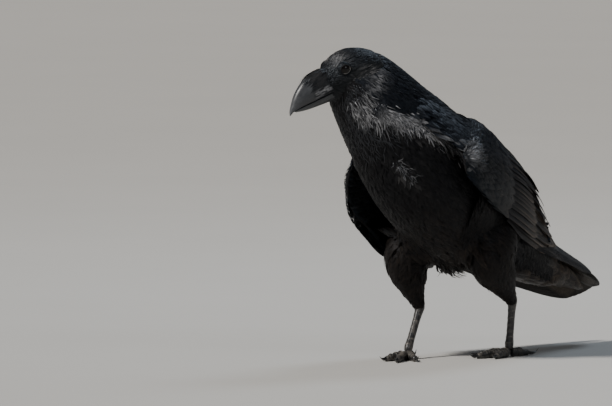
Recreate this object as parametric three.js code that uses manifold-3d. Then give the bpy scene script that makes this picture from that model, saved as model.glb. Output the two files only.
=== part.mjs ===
// A common raven (Corvus corax) at life size, standing, as a still model.
// Millimetres, +Z up. The bird faces -Y, its left side is +X, and its feet stand on Z = 0.
// Every soft shape is a warped sphere: a ring of stations runs along an axis, and each
// station has a half width and a height above and below the axis.
import * as THREE from "three";
import { mergeVertices } from "three/addons/utils/BufferGeometryUtils.js";
import Module from "manifold-3d";

const wasm = await Module();
wasm.setup();

// ---------------------------------------------------------------- driving sizes
const GAP = 0.3; // clear space between neighbouring pieces
const WING_AROUND = 10, WING_RINGS = 11;
const V = (x, y, z) => new THREE.Vector3(x, y, z);
const DEG = Math.PI / 180;

// Body axis from the tail root to the back of the skull: x, y, z, half width, height above, height below.
const BODY = [
  [2, 192, 88, 14, 6, 11],
  [2, 160, 104, 29, 12, 30],
  [2, 118, 128, 42, 24, 45],
  [1, 72, 149, 51, 36, 57],
  [0, 28, 167, 58, 53, 70],
  [0, -15, 188, 62, 66, 76],
  [-2, -60, 214, 65, 77, 74],
  [-7, -98, 244, 59, 73, 67],
  [-15, -129, 274, 49, 65, 56],
  [-23, -155, 301, 42, 58, 45],
  [-30, -175, 321, 35, 50, 36],
  [-35, -188, 332, 25, 34, 26],
];
const BODY_ROLL = 6 * DEG; // the trunk leans to its right
const NECK_STATION = 7.35; // where the trunk ends and the neck begins

// Head frame: its origin lies midway between the eyes.
const HEAD_AT = V(-40, -197, 342.5);
const HEAD_TURN = 24 * DEG; // turned to its right
const HEAD_DIP = 20 * DEG; // bill points down
// forward, level of the widest line, half width, height above, height below
const HEAD = [
  [-54, -17, 17, 14, 16],
  [-46, -14, 23.5, 19, 24],
  [-35, -11, 27, 22.5, 28],
  [-22, -9, 28, 25, 30],
  [-10, -8.5, 26.8, 25, 29.5],
  [1, -8.5, 24, 22.5, 28],
  [11, -10, 20, 18.5, 25],
  [19, -12.5, 16.4, 17.4, 21],
  [26, -14.5, 13.6, 17.6, 18.2],
];
const EYE_R = 7.6;
const EYE_AT = V(0, 17.2, 0); // forward, side, up in the head frame

// Bill: forward, ridge, edge, half width
const UPPER_BILL = [
  [12, 4.4, -20.6, 13.2],
  [24, 5.8, -21.2, 12.4],
  [35, 5.2, -21.9, 11.2],
  [46, 2.4, -22.5, 9.6],
  [55, -2.6, -23, 8],
  [63, -9.2, -23.7, 6.2],
  [69, -16.6, -24.9, 4.4],
  [73, -22, -26.6, 2.7],
  [75.6, -27, -29, 1.2],
];
const LOWER_BILL = [
  [10, -32.6, -21.2, 12.4],
  [22, -32.2, -21.9, 11.6],
  [35, -31.6, -22.5, 10.2],
  [47, -30.8, -23.1, 8.6],
  [57, -29.6, -23.7, 6.8],
  [64, -28.2, -24.4, 5],
  [68.5, -26.9, -25.4, 2.8],
];

// Legs: knee, ankle and ball of the foot, all at the axis; side is +1 on the left.
const LEGS = {
  left: { side: 1, hip: V(38, 8, 150), knee: V(47, -6, 118), ankle: V(40, 49, 64), ball: V(37, 46, 7.4), turn: 16 * DEG },
  right: { side: -1, hip: V(-39, -8, 146), knee: V(-48, -36, 116), ankle: V(-42, -20, 58), ball: V(-38, -53, 7.4), turn: 20 * DEG },
};
const TIBIA = [46, 43, 38, 31, 23, 14, 8]; // feathered leg, width along its length
const TARSUS_R = 4.5;
// toe: heading from the foot's own forward, length of the toe, length of its claw
const TOES = { 1: [180, 27, 19], 2: [-30, 33, 14], 3: [0, 46, 15], 4: [26, 36, 13] };
const TOE_R = 4.1;
const SOLE = 2; // the underside of a toe is pressed flat up to this height

// Tail: twelve quills, longest in the middle.
const TAIL = { root: V(1, 66, 147), tip: V(4, 278, 67), fan: 0.45 * DEG, spread: 1.1, step: 4.6, width: 13, roll: 26 * DEG, thick: 1.1 };

// ---------------------------------------------------------------- shared shape tools
// Uniform Catmull-Rom spline through the rows of a table, column by column.
function rowAt(rows, s) {
  const n = rows.length - 1;
  const i = Math.max(0, Math.min(n - 1, Math.floor(s))), f = s - i;
  const row = (k) => k < 0 ? rows[0].map((v, c) => 2 * v - rows[1][c]) : k > n ? rows[n].map((v, c) => 2 * v - rows[n - 1][c]) : rows[k];
  const [a, b, c, d] = [row(i - 1), row(i), row(i + 1), row(i + 2)];
  return b.map((_, k) => 0.5 * (2 * b[k] + (c[k] - a[k]) * f + (2 * a[k] - 5 * b[k] + 4 * c[k] - d[k]) * f * f + (3 * b[k] - a[k] - 3 * c[k] + d[k]) * f ** 3));
}

// A closed surface from a sphere: place(v, angle) gives the point at v from 0 to 1 along the axis.
function warped(around, rings, place) {
  const g = new THREE.SphereGeometry(1, around, rings);
  g.deleteAttribute("normal");
  g.deleteAttribute("uv");
  const p = g.getAttribute("position"), at = V(0, 0, 0);
  const ring = around + 1;
  for (let k = 0; k < p.count; k++) {
    const r = Math.floor(k / ring), a = ((k % ring) % around) / around;
    at.copy(place(r / rings, r === 0 || r === rings ? 0 : a * 2 * Math.PI, r));
    p.setXYZ(k, at.x, at.y, at.z);
  }
  return mergeVertices(g, 1e-4);
}

function solid(g) {
  const s = new wasm.Manifold(new wasm.Mesh({
    numProp: 3,
    vertProperties: new Float32Array(g.attributes.position.array),
    triVerts: new Uint32Array(g.index.array),
  }));
  if (s.volume() >= 0) return s;
  const t = new Uint32Array(g.index.array);
  for (let i = 0; i < t.length; i += 3) [t[i + 1], t[i + 2]] = [t[i + 2], t[i + 1]];
  return new wasm.Manifold(new wasm.Mesh({ numProp: 3, vertProperties: new Float32Array(g.attributes.position.array), triVerts: t }));
}

// The largest body of a solid, so that a boolean leaves no crumbs.
function main(s) {
  const all = s.decompose();
  return all.reduce((a, b) => (b.volume() > a.volume() ? b : a));
}

// A flat or rounded ended loft: frameOf(s) gives centre, side, up, and the half sizes at station s.
function loft(around, rings, from, to, frameOf, { round0 = 0, round1 = 0, grow = 0, power = 1 } = {}) {
  return warped(around, rings, (v, a, r) => {
    // first and last ring are the poles; the ring next to a pole is a flat cap's rim or a rounded end's first ring
    const w = r <= 0 ? 0 : r >= rings ? 1 : (r - 1) / (rings - 2);
    let s = from + (to - from) * w, k = 1;
    if (round0 && w < round0) { const q = 1 - w / round0; k = Math.sqrt(Math.max(0, 1 - q * q)) * 0.97 + 0.03; }
    if (round1 && w > 1 - round1) { const q = (w - 1 + round1) / round1; k = Math.sqrt(Math.max(0, 1 - q * q)) * 0.97 + 0.03; }
    const f = frameOf(s);
    if (r <= 0 || r >= rings) return f.at.clone().addScaledVector(f.along, grow * (r <= 0 ? -1 : 1));
    const c = Math.cos(a), d = Math.sin(a);
    const cx = Math.sign(c) * Math.abs(c) ** power, sy = Math.sign(d) * Math.abs(d) ** power;
    return f.at.clone()
      .addScaledVector(f.side, (f.w + grow) * k * cx)
      .addScaledVector(f.up, ((d >= 0 ? f.hu : f.hd) + grow) * k * sy)
      .addScaledVector(f.along, r === 1 ? -grow : r === rings - 1 ? grow : 0);
  });
}

// ---------------------------------------------------------------- trunk and neck
const UP = V(0, 0, 1);
function bodyFrame(s) {
  const p = rowAt(BODY, s), q0 = rowAt(BODY, Math.max(0, s - 0.25)), q1 = rowAt(BODY, Math.min(BODY.length - 1, s + 0.25));
  const along = V(q1[0] - q0[0], q1[1] - q0[1], q1[2] - q0[2]).normalize();
  const side = UP.clone().cross(along).normalize(), up = along.clone().cross(side);
  const fade = Math.max(0, Math.min(1, (8.5 - s) / 2.5)), r = BODY_ROLL * fade;
  return {
    at: V(p[0], p[1], p[2]), along,
    side: side.clone().multiplyScalar(Math.cos(r)).addScaledVector(up, Math.sin(r)),
    up: up.clone().multiplyScalar(Math.cos(r)).addScaledVector(side, -Math.sin(r)),
    w: p[3], hu: p[4], hd: p[5],
  };
}
const trunkLoft = (grow = 0) => loft(20, 15, 0, NECK_STATION, bodyFrame, { grow });
const neckLoft = (grow = 0) => loft(20, 9, NECK_STATION + 0.009, BODY.length - 1, bodyFrame, { grow });

// ---------------------------------------------------------------- head, eyes and bill
const headForward = V(-Math.sin(HEAD_TURN) * Math.cos(HEAD_DIP), -Math.cos(HEAD_TURN) * Math.cos(HEAD_DIP), -Math.sin(HEAD_DIP));
const headSide = V(Math.cos(HEAD_TURN), -Math.sin(HEAD_TURN), 0);
const headUp = headForward.clone().cross(headSide);
const inHead = (f, s, u) => HEAD_AT.clone().addScaledVector(headForward, f).addScaledVector(headSide, s).addScaledVector(headUp, u);

const headLoft = (grow = 0) => loft(20, 14, 0, HEAD.length - 1, (s) => {
  const [f, u, w, hu, hd] = rowAt(HEAD, s);
  return { at: inHead(f, 0, u), along: headForward, side: headSide, up: headUp, w, hu, hd };
}, { round0: 0.12, round1: 0.14, grow });

const billLoft = (table, upper, grow = 0) => loft(12, 11, 0, table.length - 1, (s) => {
  const [f, ridge, edge, w] = rowAt(table, s);
  const lip = (upper ? 1 : -1) * Math.min(1.6, Math.abs(ridge - edge) * 0.22), mid = edge + lip;
  return { at: inHead(f, 0, mid), along: headForward, side: headSide, up: headUp, w, hu: upper ? ridge - mid : -lip, hd: upper ? lip : mid - ridge };
}, { round1: 0.06, grow, power: 0.9 });

const eyeBall = (side, grow = 0) => {
  const at = inHead(EYE_AT.x, EYE_AT.y * side, EYE_AT.z);
  return new THREE.SphereGeometry(EYE_R + grow, 12, 8).rotateX(Math.PI / 2).rotateZ(-HEAD_TURN - Math.PI / 2).translate(at.x, at.y, at.z);
};
const bare = (g) => { g.deleteAttribute("normal"); g.deleteAttribute("uv"); return mergeVertices(g, 1e-4); };

// ---------------------------------------------------------------- legs and feet
function tibiaLoft(leg, grow = 0) {
  const curve = new THREE.CatmullRomCurve3([leg.hip, leg.knee, leg.knee.clone().lerp(leg.ankle, 0.5).add(V(leg.side * 1.5, -3, 0)), leg.ankle.clone().add(V(0, 0, -1))], false, "catmullrom", 0.5);
  return loft(12, 9, 0, 1, (s) => {
    const at = curve.getPoint(s), along = curve.getTangent(s);
    const side = V(1, 0, 0).addScaledVector(along, -along.x).normalize(), up = along.clone().cross(side);
    const k = s * (TIBIA.length - 1), r = rowAt(TIBIA.map((x) => [x]), k)[0];
    return { at, along, side, up, w: r * 0.62 + 1, hu: r * 0.86, hd: r * 0.86 };
  }, { grow });
}

function tarsusLoft(leg, grow = 0) {
  const curve = new THREE.CatmullRomCurve3([leg.ankle.clone().add(V(0, 1, 4)), leg.ankle.clone(), leg.ankle.clone().lerp(leg.ball, 0.5), leg.ball], false, "catmullrom", 0.5);
  return loft(8, 9, 0, 1, (s) => {
    const at = curve.getPoint(s), along = curve.getTangent(s);
    const side = V(1, 0, 0).addScaledVector(along, -along.x).normalize(), up = along.clone().cross(side);
    const joint = 1 + 0.3 * Math.exp(-(((s - 0.33) / 0.12) ** 2)) + 0.5 * Math.max(0, (s - 0.78) / 0.22) ** 1.5;
    return { at, along, side, up, w: TARSUS_R * 0.86 * joint, hu: TARSUS_R * 1.06 * joint, hd: TARSUS_R * 1.06 * joint };
  }, { grow, round1: 0.12 });
}

// A toe lies along the ground with a flat sole; its joints swell over the pads.
function toeFrame(leg, number) {
  const [heading, length] = TOES[number];
  const base = Math.PI * 1.5 + leg.side * -leg.turn + leg.side * heading * DEG;
  const dir = V(Math.cos(base), Math.sin(base), 0), side = UP.clone().cross(dir);
  const pads = number === 1 ? 2 : number;
  const start = V(leg.ball.x, leg.ball.y, 0).addScaledVector(dir, 2.5);
  return (s) => {
    const swell = 1 + 0.1 * Math.cos(s * pads * 2 * Math.PI), r = TOE_R * (1.12 - 0.34 * s) * swell;
    const rise = 1.3 * Math.sin(s * Math.PI) + 1.8 * (1 - s) ** 2;
    return { at: start.clone().addScaledVector(dir, s * length).add(V(0, 0, r + rise)), along: dir, side, up: UP, w: r, hu: r, hd: r + rise, r };
  };
}
function toeLoft(leg, number, grow = 0) {
  const f = toeFrame(leg, number);
  const g = loft(8, 9, 0, 1, f, { grow, round0: 0.14, round1: 0.1 });
  const p = g.getAttribute("position");
  for (let k = 0; k < p.count; k++) if (p.getZ(k) < SOLE) p.setZ(k, -grow);
  return g;
}
function clawLoft(leg, number, grow = 0) {
  const [, , length] = TOES[number], f = toeFrame(leg, number)(0.97);
  const r = f.r * 0.62, arc = 1.45, bend = length / arc;
  return loft(6, 6, 0, 1, (s) => {
    const q = s * arc - 0.5, q0 = -0.5;
    const ahead = bend * (Math.sin(q) - Math.sin(q0)), down = bend * (Math.cos(q0) - Math.cos(q));
    const k = (1 - s) ** 0.75 * 0.93 + 0.07;
    const along = f.along.clone().multiplyScalar(Math.cos(q)).addScaledVector(UP, -Math.sin(q));
    const at = f.at.clone().addScaledVector(f.along, ahead).addScaledVector(UP, down + 0.6);
    at.z = Math.max(at.z, 0.25 + r * k * 1.1);
    return { at, along, side: f.side, up: along.clone().cross(f.side), w: r * 0.82 * k, hu: r * 1.1 * k, hd: r * 1.1 * k };
  }, { grow });
}

// ---------------------------------------------------------------- quills
// A feather vane as a thin lens: root and tip, the face's normal, half width, how far it sags, and how blunt its tip is.
function vane({ root, tip, normal, half, thick, bow = 0, blunt = 0.16, shift = 0 }, grow = 0, rings = 5) {
  const along = tip.clone().sub(root), length = along.length();
  along.normalize();
  const n = normal.clone().addScaledVector(along, -normal.dot(along)).normalize(), side = n.clone().cross(along);
  return loft(6, rings, 0, 1, (q) => {
    const s = 1 - (1 - q) ** 2; // stations crowd towards the tip
    const taper = s > 1 - blunt ? Math.sqrt(Math.max(0, 1 - ((s - 1 + blunt) / blunt) ** 2)) : 1;
    const w = half * (0.45 + 0.55 * Math.min(1, s / 0.35)) * taper + 0.4;
    const at = root.clone().addScaledVector(along, s * length).addScaledVector(n, bow * 4 * s * (1 - s)).addScaledVector(side, shift * Math.sin(s * Math.PI));
    return { at, along, side, up: n, w, hu: thick, hd: thick };
  }, { grow });
}
const join = (list) => list.reduce((a, b) => a.add(b));

function tailQuills() {
  const along = TAIL.tip.clone().sub(TAIL.root), length = along.length();
  along.normalize();
  const flat = V(1, 0, 0), normal = flat.clone().cross(along).normalize();
  const side = flat.clone().multiplyScalar(Math.cos(TAIL.roll)).addScaledVector(normal, Math.sin(TAIL.roll));
  const up = normal.clone().multiplyScalar(Math.cos(TAIL.roll)).addScaledVector(flat, -Math.sin(TAIL.roll));
  const all = [];
  for (let k = 0; k < 12; k++) {
    const o = k - 5.5, m = Math.abs(o); // from the right edge to the left edge
    const angle = o * TAIL.fan, l = length - TAIL.step * Math.max(0, m - 0.5) * (0.55 + m * 0.11);
    const dir = along.clone().multiplyScalar(Math.cos(angle)).addScaledVector(side, Math.sin(angle));
    const root = TAIL.root.clone().addScaledVector(side, o * TAIL.spread).addScaledVector(up, -m * 1.7);
    const tip = root.clone().addScaledVector(dir, l).addScaledVector(up, -m * 1.3);
    all.push({ root, tip, normal: up.clone().addScaledVector(side, o * 0.07), half: TAIL.width - m * 0.3, thick: TAIL.thick, bow: 3, blunt: 0.1 });
  }
  return all;
}

// ---------------------------------------------------------------- wings
// Each wing is a curved sheet from a lower edge to an upper edge, here from the bend backwards:
// lower edge x (outwards), y, z, upper edge x, y, z, how far the middle bulges out, thickness
const WING = {
  left: [
    [77, -104, 222, 71, -108, 249, 4, 5],
    [82, -88, 208, 62, -86, 270, 9, 8],
    [81, -60, 190, 46, -51, 279, 15, 10],
    [78, -24, 170, 33, -6, 269, 20, 11],
    [72, 20, 151, 22, 42, 247, 21, 10],
    [63, 62, 136, 13, 84, 218, 18, 8],
    [54, 96, 126, 10, 112, 194, 13, 6],
    [45, 126, 122, 14, 134, 173, 7, 4],
  ],
  right: [
    [84, -112, 190, 79, -117, 222, 4, 5],
    [91, -94, 166, 69, -96, 247, 9, 8],
    [92, -60, 140, 50, -52, 264, 15, 10],
    [88, -24, 116, 35, -6, 258, 20, 11],
    [76, 20, 112, 22, 42, 238, 21, 10],
    [64, 62, 105, 12, 84, 209, 18, 8],
    [52, 96, 103, 7, 114, 182, 13, 6],
    [43, 126, 104, 8, 136, 158, 7, 4],
  ],
};
// Folded primaries: root and tip of the lowest, longest quill, and how the stack steps up to the last one
const PRIMARY = {
  left: { root: V(58, 40, 136), tip: V(18, 252, 85), rise: V(-3, 4, 12), back: V(5, -84, 26) },
  right: { root: V(-66, 40, 112), tip: V(-21, 264, 54), rise: V(3, 4, 16), back: V(-7, -84, 32) },
};
const HAND_QUILLS = 5, ARM_QUILLS = 4;
function wingFrame(name, s) {
  const sg = name === "left" ? 1 : -1, t = WING[name];
  const at = (q) => { const p = rowAt(t, q); return [V(sg * p[0], p[1], p[2]), V(sg * p[3], p[4], p[5]), p[6], p[7]]; };
  const [low, high, bulge, thick] = at(s), [a0, b0] = at(Math.max(0, s - 0.25)), [a1, b1] = at(Math.min(t.length - 1, s + 0.25));
  const along = a1.add(b1).sub(a0).sub(b0).normalize();
  const up = high.clone().sub(low).normalize(), out = along.clone().cross(up).multiplyScalar(sg).normalize();
  if (out.x * sg < 0) out.multiplyScalar(-1);
  return { low, high, along, up, out, bulge, thick };
}
// A point of the sheet: a runs from 0 at the lower edge to 1 at the upper, lift is off the middle surface.
function onWing(f, a, lift) {
  return f.low.clone().lerp(f.high, a).addScaledVector(f.out, f.bulge * 4 * a * (1 - a) + lift);
}
function wingMass(name, grow = 0) {
  const n = WING[name].length - 1;
  return warped(WING_AROUND, WING_RINGS, (v, a, r) => {
    const end = r <= 0 || r >= WING_RINGS, w = Math.max(0, Math.min(1, (r - 1) / (WING_RINGS - 2))), f = wingFrame(name, w * n);
    if (end) return onWing(f, 0.5, -f.thick * 0.4).addScaledVector(f.along, (r <= 0 ? -1 : 1) * (grow + 3));
    const c = Math.cos(a), d = Math.sin(a), h = f.high.distanceTo(f.low);
    return onWing(f, 0.5 + d * (0.5 + grow / h), (f.thick * 0.5 + grow) * c - f.thick * 0.5);
  });
}
function wingQuills(name) {
  const sg = name === "left" ? 1 : -1, { root, tip, rise, back } = PRIMARY[name], all = [];
  // folded primaries: a long narrow stack, the outermost lowest
  for (let k = 0; k < HAND_QUILLS; k++) {
    const q = k / (HAND_QUILLS - 1);
    all.push({
      root: root.clone().addScaledVector(rise, q), tip: tip.clone().addScaledVector(back, q),
      normal: V(sg * 0.8, 0.15, 0.55), half: 8.5 + q * 2, thick: 0.8, bow: 5, blunt: 0.16,
    });
  }
  // secondaries and tertials: blunt tips that step up the hind end of the sheet
  for (let k = 0; k < ARM_QUILLS; k++) {
    const q = k / (ARM_QUILLS - 1), f = wingFrame(name, 7), g = wingFrame(name, 5.2), a = 0.12 + q * 0.72;
    all.push({
      root: onWing(g, a, -g.thick * 0.5), tip: onWing(f, a, -f.thick * 0.5).addScaledVector(f.along, 11 - q * 5),
      normal: f.out.clone().addScaledVector(f.up, q * 0.4), half: 10, thick: 0.9, bow: 1, blunt: 0.25, rings: 4,
    });
  }
  return all;
}

// ---------------------------------------------------------------- assembly
const parts = {};
const trunk = solid(trunkLoft()), trunkPlus = solid(trunkLoft(GAP));
const eyes = { left: solid(bare(eyeBall(1))), right: solid(bare(eyeBall(-1))) };
const upperBill = solid(billLoft(UPPER_BILL, true)), lowerBill = solid(billLoft(LOWER_BILL, false));
const headPlus = solid(headLoft(GAP));
let head = solid(headLoft());
for (const sg of [1, -1]) head = head.subtract(solid(bare(eyeBall(sg, GAP))));
parts.trunk = trunk;
parts.head = main(head);
parts.neck = main(solid(neckLoft()).subtract(headPlus));
parts.bill_upper = main(upperBill.subtract(headPlus));
parts.bill_lower = main(lowerBill.subtract(headPlus).subtract(solid(billLoft(UPPER_BILL, true, GAP))));
parts.eye_left = eyes.left;
parts.eye_right = eyes.right;

const tailSolid = (grow = 0) => join(tailQuills().map((q) => solid(vane(q, grow))));
parts.tail = main(tailSolid().subtract(trunkPlus));
const tailPlus = tailSolid(GAP);

const neckPlus = solid(loft(20, 9, NECK_STATION - 0.05, BODY.length - 1, bodyFrame, { grow: GAP }));
const legPlus = {};
for (const [name, leg] of Object.entries(LEGS)) {
  const tibia = solid(tibiaLoft(leg)), tibiaPlus = solid(tibiaLoft(leg, GAP));
  legPlus[name] = tibiaPlus;
  parts["thigh_" + name] = main(tibia.subtract(trunkPlus).subtract(tailPlus));
  const tarsus = solid(tarsusLoft(leg)), tarsusPlus = solid(tarsusLoft(leg, GAP));
  parts["tarsus_" + name] = main(tarsus.subtract(tibiaPlus));
  let before = tarsusPlus;
  for (const k of [3, 2, 4, 1]) {
    const toe = solid(toeLoft(leg, k));
    parts[`toe_${name}_${k}`] = main(toe.subtract(before));
    before = before.add(solid(toeLoft(leg, k, GAP)));
  }
  for (const k of [1, 2, 3, 4]) parts[`claw_${name}_${k}`] = main(solid(clawLoft(leg, k)).subtract(solid(toeLoft(leg, k, GAP))));
}
for (const name of ["left", "right"]) {
  const whole = join([solid(wingMass(name)), ...wingQuills(name).map((q) => solid(vane(q, 0, q.rings)))]);
  parts["wing_" + name] = main(whole.subtract(trunkPlus).subtract(neckPlus).subtract(legPlus[name]).subtract(tailPlus));
}

// ---------------------------------------------------------------- scene graph
const finish = {
  plumage: new THREE.MeshStandardMaterial({ color: 0x0b0c10, roughness: 0.42, metalness: 0 }),
  quill: new THREE.MeshStandardMaterial({ color: 0x0e0f13, roughness: 0.36, metalness: 0 }),
  bill: new THREE.MeshStandardMaterial({ color: 0x17181b, roughness: 0.38, metalness: 0 }),
  eye: new THREE.MeshStandardMaterial({ color: 0x0c0806, roughness: 0.05, metalness: 0 }),
  leg: new THREE.MeshStandardMaterial({ color: 0x15151a, roughness: 0.5, metalness: 0 }),
  claw: new THREE.MeshStandardMaterial({ color: 0x0d0d0f, roughness: 0.3, metalness: 0 }),
};
const looks = (name) => name.startsWith("eye") ? "eye" : name.startsWith("bill") ? "bill" : name.startsWith("claw") ? "claw"
  : name.startsWith("to") || name.startsWith("tarsus") ? "leg" : name === "tail" || name.startsWith("wing") ? "quill" : "plumage";

const raven = new THREE.Group();
for (const [name, s] of Object.entries(parts)) {
  const m = s.getMesh(), n = m.numProp, v = new Float32Array(m.numVert * 3);
  for (let i = 0; i < m.numVert; i++) v.set(m.vertProperties.subarray(i * n, i * n + 3), i * 3);
  const g = new THREE.BufferGeometry().setAttribute("position", new THREE.BufferAttribute(v, 3)).setIndex(new THREE.BufferAttribute(new Uint32Array(m.triVerts), 1));
  g.computeVertexNormals();
  const mesh = new THREE.Mesh(g, finish[looks(name)]);
  mesh.name = name;
  raven.add(mesh);
}
// The origin is the middle of the whole bird's footprint, on the floor.
const box = new THREE.Box3().setFromObject(raven);
for (const mesh of raven.children) mesh.geometry.translate(-(box.min.x + box.max.x) / 2, -(box.min.y + box.max.y) / 2, -box.min.z);
export default raven;
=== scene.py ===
import math
import bpy
import numpy as np
from mathutils import Vector, Matrix
from mathutils.bvhtree import BVHTree


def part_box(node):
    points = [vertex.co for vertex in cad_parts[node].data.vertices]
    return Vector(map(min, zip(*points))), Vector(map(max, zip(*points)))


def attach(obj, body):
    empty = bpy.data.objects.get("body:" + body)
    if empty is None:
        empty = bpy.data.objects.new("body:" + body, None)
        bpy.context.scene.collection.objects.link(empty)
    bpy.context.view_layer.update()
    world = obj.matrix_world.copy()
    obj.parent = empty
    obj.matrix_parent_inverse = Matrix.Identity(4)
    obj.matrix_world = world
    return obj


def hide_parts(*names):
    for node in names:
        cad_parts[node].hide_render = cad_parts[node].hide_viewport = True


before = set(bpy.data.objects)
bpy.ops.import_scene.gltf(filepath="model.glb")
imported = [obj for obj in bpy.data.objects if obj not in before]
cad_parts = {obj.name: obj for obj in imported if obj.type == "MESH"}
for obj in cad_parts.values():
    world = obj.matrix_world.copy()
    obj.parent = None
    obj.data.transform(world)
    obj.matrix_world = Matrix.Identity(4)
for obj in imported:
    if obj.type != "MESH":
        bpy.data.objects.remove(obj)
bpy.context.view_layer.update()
rng = np.random.default_rng(11)
DEG = math.pi / 180

# ------------------------------------------------------------------ sizes, in millimetres, as in the solids
BODY = [
    [2, 192, 88, 14, 6, 11], [2, 160, 104, 29, 12, 30], [2, 118, 128, 42, 24, 45], [1, 72, 149, 51, 36, 57],
    [0, 28, 167, 58, 53, 70], [0, -15, 188, 62, 66, 76], [-2, -60, 214, 65, 77, 74], [-7, -98, 244, 59, 73, 67],
    [-15, -129, 274, 49, 65, 56], [-23, -155, 301, 42, 58, 45], [-30, -175, 321, 35, 50, 36], [-35, -188, 332, 25, 34, 26]]
BODY_ROLL = 6 * DEG
HEAD_AT = np.array([-40, -197, 342.5])
HEAD_TURN, HEAD_DIP = 24 * DEG, 20 * DEG
HEAD = [
    [-54, -17, 17, 14, 16], [-46, -14, 23.5, 19, 24], [-35, -11, 27, 22.5, 28], [-22, -9, 28, 25, 30], [-10, -8.5, 26.8, 25, 29.5],
    [1, -8.5, 24, 22.5, 28], [11, -10, 20, 18.5, 25], [19, -12.5, 16.4, 17.4, 21], [26, -14.5, 13.6, 17.6, 18.2]]
EYE_R, EYE_SIDE = 7.6, 17.2
UPPER_BILL = [
    [12, 4.4, -20.6, 13.2], [24, 5.8, -21.2, 12.4], [35, 5.2, -21.9, 11.2], [46, 2.4, -22.5, 9.6], [55, -2.6, -23, 8],
    [63, -9.2, -23.7, 6.2], [69, -16.6, -24.9, 4.4], [73, -22, -26.6, 2.7], [75.6, -27, -29, 1.2]]
LOWER_BILL = [
    [10, -32.6, -21.2, 12.4], [22, -32.2, -21.9, 11.6], [35, -31.6, -22.5, 10.2], [47, -30.8, -23.1, 8.6], [57, -29.6, -23.7, 6.8],
    [64, -28.2, -24.4, 5], [68.5, -26.9, -25.4, 2.8]]
LEGS = {
    "left": dict(side=1, hip=[38, 8, 150], knee=[47, -6, 118], ankle=[40, 49, 64], ball=[37, 46, 7.4], turn=16 * DEG),
    "right": dict(side=-1, hip=[-39, -8, 146], knee=[-48, -36, 116], ankle=[-42, -20, 58], ball=[-38, -53, 7.4], turn=20 * DEG)}
TIBIA = [46, 43, 38, 31, 23, 14, 8]
TARSUS_R = 4.5
TOES = {1: (180, 27, 19), 2: (-30, 33, 14), 3: (0, 46, 15), 4: (26, 36, 13)}
TOE_R = 4.1
TAIL = dict(root=[1, 66, 147], tip=[4, 278, 67], fan=0.45 * DEG, spread=1.1, step=4.6, width=13, roll=26 * DEG)
WING = {
    "left": [
        [77, -104, 222, 71, -108, 249, 4, 5], [82, -88, 208, 62, -86, 270, 9, 8], [81, -60, 190, 46, -51, 279, 15, 10], [78, -24, 170, 33, -6, 269, 20, 11],
        [72, 20, 151, 22, 42, 247, 21, 10], [63, 62, 136, 13, 84, 218, 18, 8], [54, 96, 126, 10, 112, 194, 13, 6], [45, 126, 122, 14, 134, 173, 7, 4]],
    "right": [
        [84, -112, 190, 79, -117, 222, 4, 5], [91, -94, 166, 69, -96, 247, 9, 8], [92, -60, 140, 50, -52, 264, 15, 10], [88, -24, 116, 35, -6, 258, 20, 11],
        [76, 20, 112, 22, 42, 238, 21, 10], [64, 62, 105, 12, 84, 209, 18, 8], [52, 96, 103, 7, 114, 182, 13, 6], [43, 126, 104, 8, 136, 158, 7, 4]]}
PRIMARY = {
    "left": dict(root=[58, 40, 136], tip=[18, 252, 85], rise=[-3, 4, 12], back=[5, -84, 26]),
    "right": dict(root=[-66, 40, 112], tip=[-21, 264, 54], rise=[3, 4, 16], back=[-7, -84, 32])}


# ------------------------------------------------------------------ shape functions
def rows(table, s):
    t = np.asarray(table, float)
    if t.ndim == 1:
        t = t[:, None]
    n = len(t) - 1
    ext = np.vstack([2 * t[0] - t[1], t, 2 * t[-1] - t[-2]])
    s = np.asarray(s, float)
    i = np.clip(np.floor(s).astype(int), 0, n - 1)
    f = (s - i)[..., None]
    a, b, c, d = ext[i], ext[i + 1], ext[i + 2], ext[i + 3]
    return 0.5 * (2 * b + (c - a) * f + (2 * a - 5 * b + 4 * c - d) * f ** 2 + (3 * b - a - 3 * c + d) * f ** 3)


def unit(v):
    return v / np.maximum(np.linalg.norm(v, axis=-1, keepdims=True), 1e-9)


def smooth(a, b, x):
    t = np.clip((np.asarray(x, float) - a) / (b - a), 0, 1)
    return t * t * (3 - 2 * t)


def body_frame(s):
    s = np.asarray(s, float)
    n = len(BODY) - 1
    p = rows(BODY, s)
    q = rows(BODY, np.minimum(n, s + 0.25)) - rows(BODY, np.maximum(0, s - 0.25))
    along = unit(q[..., :3])
    side = unit(np.cross(np.array([0, 0, 1.0]), along))
    up = np.cross(along, side)
    r = (BODY_ROLL * np.clip((8.5 - s) / 2.5, 0, 1))[..., None]
    return p[..., :3], along, side * np.cos(r) + up * np.sin(r), up * np.cos(r) - side * np.sin(r), p[..., 3], p[..., 4], p[..., 5]


def on_body(s, th, inset=0.0):
    at, along, side, up, w, hu, hd = body_frame(s)
    c, d = np.cos(th), np.sin(th)
    h = np.where(d >= 0, hu, hd)
    return at + side * ((w - inset) * c)[..., None] + up * ((h - inset) * d)[..., None]


cT, sT, cD, sD = math.cos(HEAD_TURN), math.sin(HEAD_TURN), math.cos(HEAD_DIP), math.sin(HEAD_DIP)
H_F = np.array([-sT * cD, -cT * cD, -sD])
H_S = np.array([cT, -sT, 0.0])
H_U = np.cross(H_F, H_S)


def in_head(f, s, u):
    f, s, u = np.broadcast_arrays(np.asarray(f, float), np.asarray(s, float), np.asarray(u, float))
    return HEAD_AT + f[..., None] * H_F + s[..., None] * H_S + u[..., None] * H_U


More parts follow.
